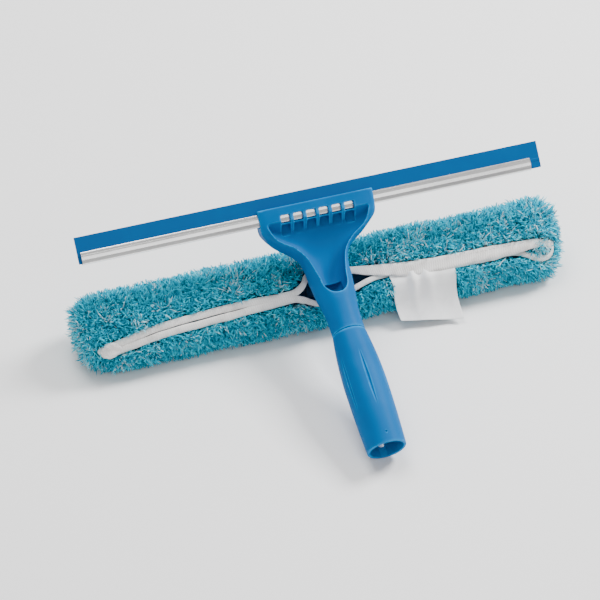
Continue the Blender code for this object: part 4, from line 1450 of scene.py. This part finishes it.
@dataclass
class Binding:
    """Tape sewn round the slit: side by side left of the stem, lapped over each other right of it."""

    shape: SleeveShape
    thickness: float = 0.0022
    steps: int = 12
    sink: float = 0.0003
    stitch_pitch: float = 0.0030
    stitch_size: tuple[float, float, float] = (0.0010, 0.00020, 0.00016)

    def path(self) -> np.ndarray:
        """Give the closed middle line as rows of (x, angle, lift, half width), with small wrinkles.

        Returns:
            The rows.
        """
        keys = UPPER_TAPE + LOWER_TAPE
        rows = [(key.x, math.radians(key.degrees), key.lift, key.half) for key in keys]
        run = catmull(rows[-2:] + rows + rows[:2], self.steps)[2 * self.steps:-self.steps - 1]
        for row in run:
            spot = Vector((row[0] * 75.0, row[1] * 2.0, 3.1))
            row[1] += 0.012 * noise.noise(spot)
            row[2] += 0.00035 * noise.noise(spot * 2.4)
            row[3] *= 1.0 + 0.10 * noise.noise(spot * 1.7 + Vector((0.0, 9.0, 0.0)))
        return run

    def headings(self, path: np.ndarray) -> np.ndarray:
        """Give unit directions along the path, as (x, across).

        Args:
            path: rows of (x, angle, lift, half width).

        Returns:
            One direction for each row.
        """
        ahead = np.roll(path, -1, axis=0) - np.roll(path, 1, axis=0)
        run = np.stack([ahead[:, 0], ahead[:, 1] * self.shape.girth(path[:, 1])], axis=1)
        return run / np.linalg.norm(run, axis=1, keepdims=True)

    def side_point(self, row: np.ndarray, run: np.ndarray, offset: np.ndarray,
                   lift: np.ndarray) -> np.ndarray:
        """Give points beside a place on the path, at an offset across the tape."""
        angle = row[1] + run[0] * offset / self.shape.girth(row[1])
        return self.shape.point(row[0] - run[1] * offset, angle, row[2] + lift)

    def build(self, layout: Layout) -> bpy.types.Object:
        """Sweep the folded tape's section along the path.

        Args:
            layout: the tool's frames.

        Returns:
            The tape.
        """
        path = self.path()
        reach, rise = squared(math.tau * np.arange(20) / 20, 0.72, 0.90)
        rings = []
        for row, run in zip(path, self.headings(path)):
            wide = np.clip((row[3] - 0.0033) / 0.0015, 0.0, 1.0)
            hump = 0.00035 * wide * np.cos(reach * 4.4 + row[0] * 40) * (rise > 0)
            lift = self.thickness * 0.5 * rise + hump - self.sink
            rings.append(self.side_point(row, run, row[3] * reach, lift))
        tape = skin("binding_tape", np.array(rings), layout.washer.matrix(), closed_path=True)
        return soften(tape, 50.0)

    def stitches(self, layout: Layout) -> bpy.types.Object:
        """Sew a row of small stitches along the tapes' outer edges.

        Args:
            layout: the tool's frames.

        Returns:
            The stitches.
        """
        template = bmesh.new()
        bmesh.ops.create_uvsphere(template, u_segments=6, v_segments=5, radius=1.0,
                                  matrix=Matrix.Diagonal((*self.stitch_size, 1.0)))
        base = np.array([vert.co for vert in template.verts])
        faces = [[vert.index for vert in face.verts] for face in template.faces]
        template.free()
        path = self.path()
        runs = self.headings(path)
        travelled = 0.0
        stitches = []
        for index in range(1, len(path)):
            row, run = path[index], runs[index]
            step = path[index] - path[index - 1]
            travelled += math.hypot(step[0], step[1] * float(self.shape.girth(row[1])))
            if travelled < self.stitch_pitch or row[2] < self.sink:
                continue
            travelled = 0.0
            x = row[0] + run[0] * base[:, 0]
            angle = row[1] + run[1] * base[:, 0] / self.shape.girth(row[1])
            side = -0.58 * row[3] + base[:, 1]
            angle = angle + run[0] * side / self.shape.girth(row[1])
            level = row[2] + self.thickness * 0.40 - self.sink + base[:, 2]
            stitches.append(self.shape.point(x - run[1] * side, angle, level))
        item = repeated("binding_stitches", np.array(stitches), faces)
        item.data.uv_layers.new(name="cloth")
        item.data.transform(layout.washer.matrix())
        return item

    def fold(self, layout: Layout) -> bpy.types.Object:
        """Make the tape's crumpled end, folded over the left end of the slit.

        Args:
            layout: the tool's frames.

        Returns:
            The folded end.
        """
        rows = []
        for part in np.linspace(0.0, 1.0, 30):
            bulge = math.sin(math.pi * min(max(part * 0.96 + 0.02, 0.0), 1.0)) ** 0.45
            reach, rise = squared(math.tau * np.arange(32) / 32, 0.7, 0.8)
            crease = np.array([noise.noise(Vector((part * 3.4, float(r) * 1.9, 2.0))) for r in reach])
            x = -0.1722 + 0.0150 * part + 0.0007 * crease
            middle = math.radians(41.5 - 4.5 * part)
            offset = (0.0066 - 0.0014 * part) * bulge * reach
            angle = middle + offset / self.shape.girth(middle)
            lift = 0.0015 + 0.0022 * bulge * rise + 0.0018 * crease * (rise > 0)
            rows.append(self.shape.point(x, angle, lift))
        return soften(skin("binding_fold", np.array(rows), layout.washer.matrix()), 50.0)

    def covers(self, x: np.ndarray, angle: np.ndarray, margin: float) -> np.ndarray:
        """Say which places are within a margin of the tapes or inside the opening round the stem.

        Args:
            x: places along the sleeve, in metres.
            angle: angles round the sleeve.
            margin: how far past the tape still counts, in metres.

        Returns:
            True where a place is covered.
        """
        path = self.path()
        turned = (angle + math.pi) % math.tau - math.pi
        near = np.full(len(x), 1.0)
        for row in path[::3]:
            across = (turned - row[1]) * self.shape.girth(row[1])
            near = np.minimum(near, np.hypot(x - row[0], across) - row[3])
        upper = np.array([(key.x, key.degrees) for key in UPPER_TAPE])
        lower = np.array([(key.x, key.degrees) for key in LOWER_TAPE])[::-1]
        top = np.radians(np.interp(x, upper[:, 0], upper[:, 1]))
        bottom = np.radians(np.interp(x, lower[:, 0], lower[:, 1]))
        between = (turned > top) & (turned < bottom) & (x > -0.17) & (x < 0.150)
        return (near < margin) | between

    @staticmethod
    def in_loop(x: np.ndarray, angle: np.ndarray) -> np.ndarray:
        """Say which places are inside the loop at the right end."""
        turned = (angle + math.pi) % math.tau - math.pi
        return ((x - 0.1660) / 0.0075) ** 2 + ((turned - math.radians(30.0)) / math.radians(15.0)) ** 2 < 1.0

    def finish(self, layout: Layout, wardrobe: Wardrobe) -> None:
        """Build and dress the tapes, their stitches and the folded end.

        Args:
            layout: the tool's frames.
            wardrobe: every finish.
        """
        dress(self.build(layout), wardrobe.tape, Body.WASHER, ("sleeve_binding",))
        dress(self.stitches(layout), wardrobe.tape, Body.WASHER)
        dress(self.fold(layout), wardrobe.tape, Body.WASHER)


@dataclass
class ClosureStrips:
    """Hook strip and loop strip under the slit's two edges."""

    shape: SleeveShape
    length: float = 0.095
    middle: float = 0.100
    width: float = 0.0052
    thickness: float = 0.0007
    level: float = -0.00268
    slit_keys: tuple[tuple[float, float], ...] = ((0.0, 0.0), (0.06, 0.1571), (0.172, 0.2443))

    def build(self, layout: Layout, name: str, side: float) -> bpy.types.Object:
        """Build one strip, with a nap that rises and falls.

        Args:
            layout: the tool's frames.
            name: the strip's name.
            side: 1 for the upper edge, -1 for the lower.

        Returns:
            The strip.
        """
        rows = []
        for part in np.linspace(-0.5, 0.5, 96):
            x = self.middle + self.length * part
            reach, rise = squared(math.tau * np.arange(16) / 16, 0.4, 0.6)
            nap = 0.00012 * np.array([noise.noise(Vector((x * 900, float(r) * 3, side))) for r in reach])
            across = side * (0.0008 + self.width / 2) + self.width / 2 * reach
            angle = eased(self.slit_keys, np.array([x])) - across / 0.02225
            lift = self.level - self.thickness / 2 + (self.thickness / 2 + nap) * rise
            rows.append(self.shape.point(np.full(16, x), angle, lift))
        return soften(skin(name, np.array(rows), layout.washer.matrix()), 60.0)

    def finish(self, layout: Layout, wardrobe: Wardrobe) -> None:
        """Build and dress both strips."""
        for name, node, side in (("hook_tape", "hook_strip", 1.0), ("loop_tape", "loop_strip", -1.0)):
            dress(self.build(layout, name, side), wardrobe.fastener, Body.WASHER, (node,))


@dataclass
class CareLabel:
    """Blank satin label that comes from under the binding and hangs over the sleeve's lower side."""

    shape: SleeveShape
    width: float = 0.047
    middle: float = 0.074
    start_angle: float = math.radians(15.0)
    leave_angle: float = math.radians(47.0)
    free_length: float = 0.025
    curl: float = math.radians(46.0)
    thickness: float = 0.00035
    rows: int = 34
    columns: int = 40

    def line(self) -> np.ndarray:
        """Give the label's line down its middle as (y, z) points.

        Returns:
            The points, from the tape down.
        """
        angle = np.linspace(self.start_angle, self.leave_angle, self.rows // 2)
        lift = 0.0002 + 0.0024 * smoothstep(angle, self.start_angle, math.radians(30.0))
        bent = self.shape.point(np.full_like(angle, self.middle), angle, lift)[:, 1:]
        run = bent[-1] - bent[-2]
        heading = math.atan2(run[1], run[0])
        points = list(bent)
        steps = self.rows - len(points)
        for index in range(steps):
            turned = heading - self.curl * (index + 0.5) / steps
            ahead = np.array((math.cos(turned), math.sin(turned)))
            points.append(points[-1] + ahead * self.free_length / steps)
        return np.array(points)

    def length(self) -> float:
        """Give the length of that line."""
        return float(np.linalg.norm(np.diff(self.line(), axis=0), axis=1).sum())

    def build(self, layout: Layout) -> bpy.types.Object:
        """Build the label with its soft folds.

        Args:
            layout: the tool's frames.

        Returns:
            The label.
        """
        line = self.line()
        tangent = np.gradient(line, axis=0)
        tangent /= np.linalg.norm(tangent, axis=1, keepdims=True)
        outward = np.stack([tangent[:, 1], -tangent[:, 0]], axis=1)
        down = np.linspace(0.0, 1.0, self.rows)
        side = np.linspace(-1.0, 1.0, self.columns)
        points = np.zeros((self.rows, self.columns, 3))
        for i, share in enumerate(down):
            for j, s in enumerate(side):
                fold = 0.0028 * math.exp(-((s + 0.35) / 0.13) ** 2 - (share / 0.55) ** 2)
                fold += 0.0021 * math.exp(-((s - 0.05 - 0.2 * share) / 0.16) ** 2 - (share / 0.5) ** 2)
                fold += 0.0006 * math.sin(s * 5.0 + share * 2.0) * share
                fold += 0.0010 * share * share * s * s
                x = self.middle + s * self.width / 2 * (1.05 - 0.05 * share) + 0.0005 * math.sin(share * 7)
                x -= 0.0012 * (1 - share)
                drop = 1.0 + (0.09 * s - 0.01) * max(0.0, share - 0.4) / 0.6
                spot = min(share * drop, 1.12) * (self.rows - 1)
                low = min(int(spot), self.rows - 2)
                y, z = line[low] + (line[low + 1] - line[low]) * (spot - low) + outward[low] * fold
                points[i, j] = (x, y, z)
        shape = laid_grid(points, down * self.length(), side * self.width / 2)
        bmesh.ops.recalc_face_normals(shape, faces=shape.faces)
        label = bmesh_object(shape, "satin_label", layout.washer.matrix())
        body = label.modifiers.new("cloth_body", "SOLIDIFY")
        body.thickness = self.thickness
        body.offset = 0.0
        fine = label.modifiers.new("fine", "SUBSURF")
        fine.levels = 1
        fine.render_levels = 1
        return soften(baked(label), 60.0)

    def finish(self, layout: Layout, wardrobe: Wardrobe) -> None:
        """Args:
            layout: the tool's frames.
            wardrobe: every finish.
        """
        label = dress(self.build(layout), wardrobe.satin, Body.WASHER, ("care_label",))
        self.length()


def clouds(points: np.ndarray, fine: float, share: float, coarse: float) -> np.ndarray:
    """Give a fine noise with a share of a coarse one, at each point."""
    spots = [Vector(point) for point in points.tolist()]
    return np.array([noise.noise(spot * fine) + share * noise.noise(spot * coarse) for spot in spots])


def sideways(rng: np.random.Generator, normal: np.ndarray) -> np.ndarray:
    """Draw random directions and take out what points along each normal."""
    drawn = rng.standard_normal(normal.shape)
    return drawn - normal * (drawn * normal).sum(1, keepdims=True)


def moved(points: np.ndarray, matrix: Matrix) -> np.ndarray:
    """Put points through a matrix."""
    grid = np.array(matrix)
    return points @ grid[:3, :3].T + grid[:3, 3]


# Each ring of a strand: its share of the length, and its share of the full radius.
STRAND_RINGS = ((0.0, 0.85), (0.48, 1.0), (0.86, 0.88), (1.0, 0.0))


@dataclass
class Pile:
    """Microfibre strands that stand on the sleeve, in tufts."""

    shape: SleeveShape
    binding: Binding
    label: CareLabel
    tufts: int = 15500
    strands: int = 6
    inset: float = 0.0020
    strand_length: float = 0.0060
    strand_radius: float = 0.00045
    end_reach: float = 0.1875
    tone: float = 0.36
    tuft_spread: float = 0.22
    strand_spread: float = 0.17
    lean: float = 0.36
    scatter: float = 0.0011
    end_shift: float = 0.0018
    full_end: tuple[float, float] = (0.150, 0.168)
    neck_half: float = 0.0172
    neck_back: float = -0.0176
    pieces: int = 8
    seed: int = 41

    def roots(self, rng: np.random.Generator, count: int) -> dict[str, np.ndarray]:
        """Scatter tuft roots evenly over the sleeve and its two ends.

        Args:
            rng: the random source.
            count: how many tufts.

        Returns:
            Arrays: x, angle, point and normal, in the washer's frame.
        """
        reach = np.concatenate([np.linspace(-1, -0.97, 600), np.linspace(-0.97, 0.97, 1800),
                                np.linspace(0.97, 1, 600)])
        scale = np.maximum(1.0 - np.abs(reach) ** 16, 0.0) ** 0.25
        mean = (self.shape.half_width + self.shape.half_depth) / 2
        run, rise = np.diff(reach) * self.shape.length / 2, np.diff(scale) * mean
        area = np.hypot(run, rise) * (scale[1:] + scale[:-1]) / 2
        share = np.cumsum(area) / area.sum()
        index = np.searchsorted(share, rng.random(count))
        between = rng.random(count)
        u = reach[index] + (reach[index + 1] - reach[index]) * between
        s = scale[index] + (scale[index + 1] - scale[index]) * between
        length = np.hypot(run, rise)[index]
        out_x, out_r = -rise[index] / length, run[index] / length
        angle = rng.random(count) * math.tau
        x = self.shape.middle + u * self.shape.length / 2
        flat_y, flat_z = -np.sin(angle) / self.shape.half_width, np.cos(angle) / self.shape.half_depth
        size = np.hypot(flat_y, flat_z)
        normal = np.stack([out_x, out_r * flat_y / size, out_r * flat_z / size], axis=1)
        point = np.stack([x, -self.shape.half_width * s * np.sin(angle),
                          self.shape.half_depth * s * np.cos(angle)], axis=1)
        return {"x": x, "angle": angle, "point": point - normal * self.inset, "normal": normal,
                "end": np.abs(out_x)}

    def paleness(self, rng: np.random.Generator, root: dict[str, np.ndarray]) -> np.ndarray:
        """Give each tuft's share of white strands: in clusters, at the ends and beside the upper tape.

        Args:
            rng: the random source.
            root: the tufts.

        Returns:
            0 to 1 for each tuft.
        """
        count, x = len(root["x"]), root["x"]
        pale = smoothstep(clouds(root["point"], 125.0, 0.4, 45.0), 0.33, 0.42)
        pale = np.maximum(pale, 0.85 * (root["end"] > 0.75) * (x < 0) * (rng.random(count) < 0.8))
        pale = np.maximum(pale, 0.7 * (x > 0.166) * (rng.random(count) < 0.35))
        pale = np.maximum(pale, (x > 0.03) * self.beside_tape(x, root["angle"]) * (rng.random(count) < 0.45))
        return np.maximum(pale, root["loop"] * 0.9)

    def build(self, layout: Layout) -> list[bpy.types.Object]:
        """Grow the strands and split them into pieces along the sleeve.

        Args:
            layout: the tool's frames.

        Returns:
            The pieces of pile.
        """
        rng = np.random.default_rng(self.seed)
        root = self.roots(rng, self.tufts)
        loop = self.binding.in_loop(root["x"], root["angle"])
        kept = loop | ~self.binding.covers(root["x"], root["angle"], 0.0)
        root["loop"] = loop.astype(float)
        root = {key: value[kept] for key, value in root.items()}
        count = len(root["x"])
        pale = self.paleness(rng, root)
        tuft_tone = self.tone + self.tuft_spread * rng.standard_normal(count)
        lean = self.lean * sideways(rng, root["normal"])
        root["lump"] = clouds(root["point"], 90.0, 0.8, 34.0)
        grown = {key: np.repeat(value, self.strands, axis=0) for key, value in root.items()}
        lean, pale, tuft_tone = (np.repeat(value, self.strands, axis=0) for value in (lean, pale, tuft_tone))
        total = len(grown["x"])
        jitter = sideways(rng, grown["normal"])
        heading = grown["normal"] + lean + jitter
        heading /= np.linalg.norm(heading, axis=1, keepdims=True)
        full = smoothstep(grown["x"], *self.full_end)
        raised = self.scatter * grown["lump"] + self.end_shift * full
        start = grown["point"] + jitter * self.scatter + grown["normal"] * raised[:, None]
        length = self.strand_length * (0.72 + 0.5 * rng.random(total))
        length *= (1 + 0.22 * np.clip(grown["lump"], -0.9, 0.9)) * (1 + 0.18 * full)
        length *= 1 - 0.45 * grown["loop"]
        bend = rng.standard_normal((total, 3)) * 0.45 * length[:, None]
        tone = np.clip(tuft_tone + self.strand_spread * rng.standard_normal(total), 0.0, 0.8)
        chosen = ((rng.random(total) < 0.94 * pale) | (rng.random(total) < 0.003)).astype(float)
        white = np.clip(0.88 + 0.10 * rng.standard_normal(total), 0.6, 1.0)
        tone = tone * (1 - chosen) + white * chosen
        tip = start + heading * (length * 0.9)[:, None] + bend * 0.7
        shown = ~self.over_cloth(tip, grown["loop"] > 0.5)
        grown = {key: value[shown] for key, value in grown.items()}
        return self.weave(layout, rng, start[shown], heading[shown], bend[shown], length[shown],
                          tone[shown], grown)

    def over_cloth(self, tip: np.ndarray, loop: np.ndarray) -> np.ndarray:
        """Say which strand tips would lie over the tapes or under the label.

        Args:
            tip: the tips.
            loop: which strands stand inside the loop.

        Returns:
            True for the strands to leave out.
        """
        angle = np.arctan2(-tip[:, 1] / self.shape.half_width, tip[:, 2] / self.shape.half_depth)
        over = self.binding.covers(tip[:, 0], angle, 0.0003)
        side = np.abs(tip[:, 0] - self.label.middle) < self.label.width / 2 - 0.0005
        under = side & (angle > math.radians(20.0)) & (angle < math.radians(66.0))
        return (over & ~loop) | under

    def beside_tape(self, x: np.ndarray, angle: np.ndarray) -> np.ndarray:
        """Give 0 to 1 for how near a place is to the upper tape's upper edge.

        Args:
            x: places along the sleeve, in metres.
            angle: angles round the sleeve.

        Returns:
            The nearness.
        """
        keys = np.array([(key.x, math.radians(key.degrees), key.half) for key in UPPER_TAPE])
        middle = np.interp(x, keys[:, 0], keys[:, 1])
        half = np.interp(x, keys[:, 0], keys[:, 2])
        turned = (angle + math.pi) % math.tau - math.pi
        above = (middle - turned) * self.shape.girth(middle) - half
        return smoothstep(above, -0.001, 0.001) * (1 - smoothstep(above, 0.003, 0.007))

    def weave(self, layout: Layout, rng: np.random.Generator, start: np.ndarray, heading: np.ndarray,
              bend: np.ndarray, length: np.ndarray, tone: np.ndarray,
              grown: dict[str, np.ndarray]) -> list[bpy.types.Object]:
        """Turn strand lines into thin three-sided tubes, pressed by the floor, the label and the neck.

        Args:
            layout: the tool's frames.
            rng: the random source.
            start: where each strand starts.
            heading: its direction.
            bend: how far its tip bends.
            length: its length.
            tone: its dye.
            grown: its tuft's values.

        Returns:
            The pieces of pile.
        """
        total = len(start)
        side = np.cross(heading, rng.standard_normal((total, 3)))
        side /= np.linalg.norm(side, axis=1, keepdims=True)
        other = np.cross(heading, side)
        thick = 0.75 + 0.6 * rng.random(total)
        corners, faces = self.strand()
        points = np.zeros((total, len(corners), 3))
        reach = np.zeros(len(corners))
        for index, (right, up, ring) in enumerate(corners):
            level, girth = STRAND_RINGS[round(ring)]
            wide = (self.strand_radius * girth * thick)[:, None]
            middle = start + heading * (length * level)[:, None] + bend * level ** 2 * 0.8
            points[:, index] = middle + (side * right + other * up) * wide
            reach[index] = level
        points = self.press(layout, points, grown, rng)
        order = np.argsort(grown["x"], kind="stable")
        pieces = []
        for number, chosen in enumerate(np.array_split(order, self.pieces), 1):
            pieces.append(self.piece(f"pile_{number}", points[chosen], faces, tone[chosen], reach))
        return pieces

    @staticmethod
    def strand() -> tuple[np.ndarray, list[list[int]]]:
        """Make the strand that is repeated: corners as (side, side, ring number), and faces.

        Returns:
            The corners and the faces.
        """
        shape = bmesh.new()
        bmesh.ops.create_circle(shape, cap_ends=True, segments=3, radius=1.0)
        rim = shape.edges[:]
        for _ in STRAND_RINGS[1:-1]:
            grown = bmesh.ops.extrude_edge_only(shape, edges=rim)["geom"]
            fresh = {part for part in grown if isinstance(part, bmesh.types.BMVert)}
            bmesh.ops.translate(shape, verts=list(fresh), vec=(0.0, 0.0, 1.0))
            rim = [edge for edge in shape.edges if set(edge.verts) <= fresh]
        lid = bmesh.ops.contextual_create(shape, geom=rim)["faces"]
        tip = bmesh.ops.poke(shape, faces=lid)["verts"]
        bmesh.ops.translate(shape, verts=tip, vec=(0.0, 0.0, 1.0))
        bmesh.ops.recalc_face_normals(shape, faces=shape.faces)
        shape.verts.index_update()
        corners = np.array([vert.co for vert in shape.verts])
        faces = [[vert.index for vert in face.verts] for face in shape.faces]
        shape.free()
        return corners, faces

    def press(self, layout: Layout, points: np.ndarray, grown: dict[str, np.ndarray],
              rng: np.random.Generator) -> np.ndarray:
        """Keep strands above the floor, behind the neck and under the label, and place them in the world.

        Args:
            layout: the tool's frames.
            points: strand corners, in the washer's frame.
            grown: each strand's tuft values.
            rng: the random source.

        Returns:
            The corners, in the world.
        """
        under = ((np.abs(grown["x"] - self.label.middle) < self.label.width / 2 - 0.001)
                 & (grown["angle"] > self.label.start_angle) & (grown["angle"] < math.radians(100.0)))
        loose = 0.0044 + 0.0020 * rng.random(len(under)) + 0.0012 * grown["lump"]
        loose = loose + 0.0022 * smoothstep(grown["x"], *self.full_end)
        most = np.where(under, 0.0012, loose)[:, None]
        angle = np.arctan2(-points[..., 1] / self.shape.half_width, points[..., 2] / self.shape.half_depth)
        wall = np.hypot(self.shape.half_width * np.sin(angle), self.shape.half_depth * np.cos(angle))
        reach = np.hypot(points[..., 1], points[..., 2])
        factor = np.minimum(1.0, (wall + most) / np.maximum(reach, 1e-6))
        points = points.copy()
        points[..., 1] *= factor
        points[..., 2] *= factor
        past = np.abs(points[..., 0] - self.shape.middle) - self.end_reach
        points[..., 0] -= np.sign(points[..., 0]) * 0.65 * np.maximum(past, 0.0)
        to_tool = layout.tool.matrix().inverted() @ layout.washer.matrix()
        tool = moved(points.reshape(-1, 3), to_tool)
        level = self.neck_back - 0.0006 * rng.random(len(tool))
        behind = (np.abs(tool[:, 0]) < self.neck_half) & (tool[:, 2] > level)
        tool[:, 2] = np.where(behind, level, tool[:, 2])
        world = moved(tool, layout.tool.matrix())
        ground = 0.0002 + 0.0008 * rng.random(len(world))
        world[:, 2] = np.maximum(world[:, 2], ground)
        return world.reshape(points.shape)

    @staticmethod
    def piece(name: str, points: np.ndarray, faces: list[list[int]], tone: np.ndarray,
              reach: np.ndarray) -> bpy.types.Object:
        """Make one mesh of many strands, with their tone and reach.

        Args:
            name: the object's name.
            points: corners, as (strand, corner, xyz).
            faces: a strand's faces.
            tone: each strand's dye.
            reach: each corner's share of the length.

        Returns:
            The piece.
        """
        count, per = points.shape[:2]
        item = repeated(name, points, faces)
        for key, values in (("tone", np.repeat(tone, per)), ("reach", np.tile(reach, count))):
            held = item.data.attributes.new(key, "FLOAT", "POINT")
            held.data.foreach_set("value", values.astype(np.float32))
        return item

    def finish(self, layout: Layout, wardrobe: Wardrobe) -> None:
        """Grow and dress the pile."""
        for piece in self.build(layout):
            dress(piece, wardrobe.fibre, Body.WASHER)


# ---------------------------------------------------------------- studio
@dataclass
class Studio:
    """Pale floor, soft lights and the camera."""

    camera_place: tuple[float, float, float] = (-0.56892, -1.57036, 1.88887)
    azimuth: float = math.radians(-18.755)
    elevation: float = math.radians(47.374)
    roll: float = math.radians(1.746)
    lens: float = 208.31

    def camera(self) -> None:
        """Set the camera."""
        data = bpy.data.cameras.new("studio_camera")
        data.lens = self.lens
        data.sensor_width = 36.0
        data.clip_end = 20.0
        item = bpy.data.objects.new("studio_camera", data)
        turn = (Matrix.Rotation(self.azimuth, 4, "Z") @ Matrix.Rotation(math.pi / 2 - self.elevation, 4, "X")
                @ Matrix.Rotation(self.roll, 4, "Z"))
        item.matrix_world = Matrix.Translation(self.camera_place) @ turn
        bpy.context.scene.collection.objects.link(item)
        bpy.context.scene.camera = item

    def floor(self) -> None:
        """Lay the floor."""
        shape = bmesh.new()
        bmesh.ops.create_grid(shape, x_segments=2, y_segments=2, size=4.0)
        floor = bmesh_object(shape, "studio_floor", Matrix.Translation((0, 0, -0.0002)))
        floor.data.materials.append(SoftPaper().make())

    def lights(self) -> None:
        """Hang a large soft key on the right, a fill on the left and a top light."""
        for name, place, size, power in (
            ("key", (1.35, 0.45, 1.35), 0.6, 56.0),
            ("front", (0.5, -1.5, 1.7), 1.0, 6.0),
            ("fill", (-1.6, -0.9, 1.6), 1.6, 6.0),
            ("top", (-0.3, 0.9, 2.2), 1.3, 42.0),
        ):
            data = bpy.data.lights.new(name, "AREA")
            data.shape = "SQUARE"
            data.size = size
            data.energy = power
            item = bpy.data.objects.new(name, data)
            item.location = place
            item.rotation_euler = (-Vector(place)).to_track_quat("-Z", "Y").to_euler()
            bpy.context.scene.collection.objects.link(item)

    def air(self) -> None:
        """Fill the room with white light."""
        world = bpy.data.worlds.new("studio_air")
        world.use_nodes = True
        background = world.node_tree.nodes["Background"]
        background.inputs["Color"].default_value = (1.0, 1.0, 1.0, 1.0)
        background.inputs["Strength"].default_value = 0.5
        bpy.context.scene.world = world

    def build(self) -> None:
        """Set up the studio."""
        self.floor()
        self.lights()
        self.air()
        self.camera()


def main() -> None:
    """Build every sub-assembly in order."""
    logging.basicConfig(level=logging.INFO, format="%(message)s")
    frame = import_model()
    layout = Layout.from_frame(frame)
    wardrobe = Wardrobe.make()
    Studio().build()
    Grip().finish(layout, wardrobe)
    HandleHead().finish(layout, wardrobe)
    ChannelRail().finish(layout, wardrobe)
    BladeStrip().finish(layout, wardrobe)
    shape = SleeveShape()
    binding = Binding(shape)
    label = CareLabel(shape)
    SleeveCore().finish(layout, wardrobe, frame)
    binding.finish(layout, wardrobe)
    ClosureStrips(shape).finish(layout, wardrobe)
    label.finish(layout, wardrobe)
    Pile(shape, binding, label).finish(layout, wardrobe)
    # The navy T-bar darkens the slit between the tapes as painted shade.
    repaint(frame, "t_bar", wardrobe.navy)
    repaint(frame, "washer_stem", wardrobe.navy)
    for node in ("channel_spring", "stem_screw_left", "stem_screw_right"):
        repaint(frame, node, wardrobe.steel)


if __name__ == "__main__":
    main()
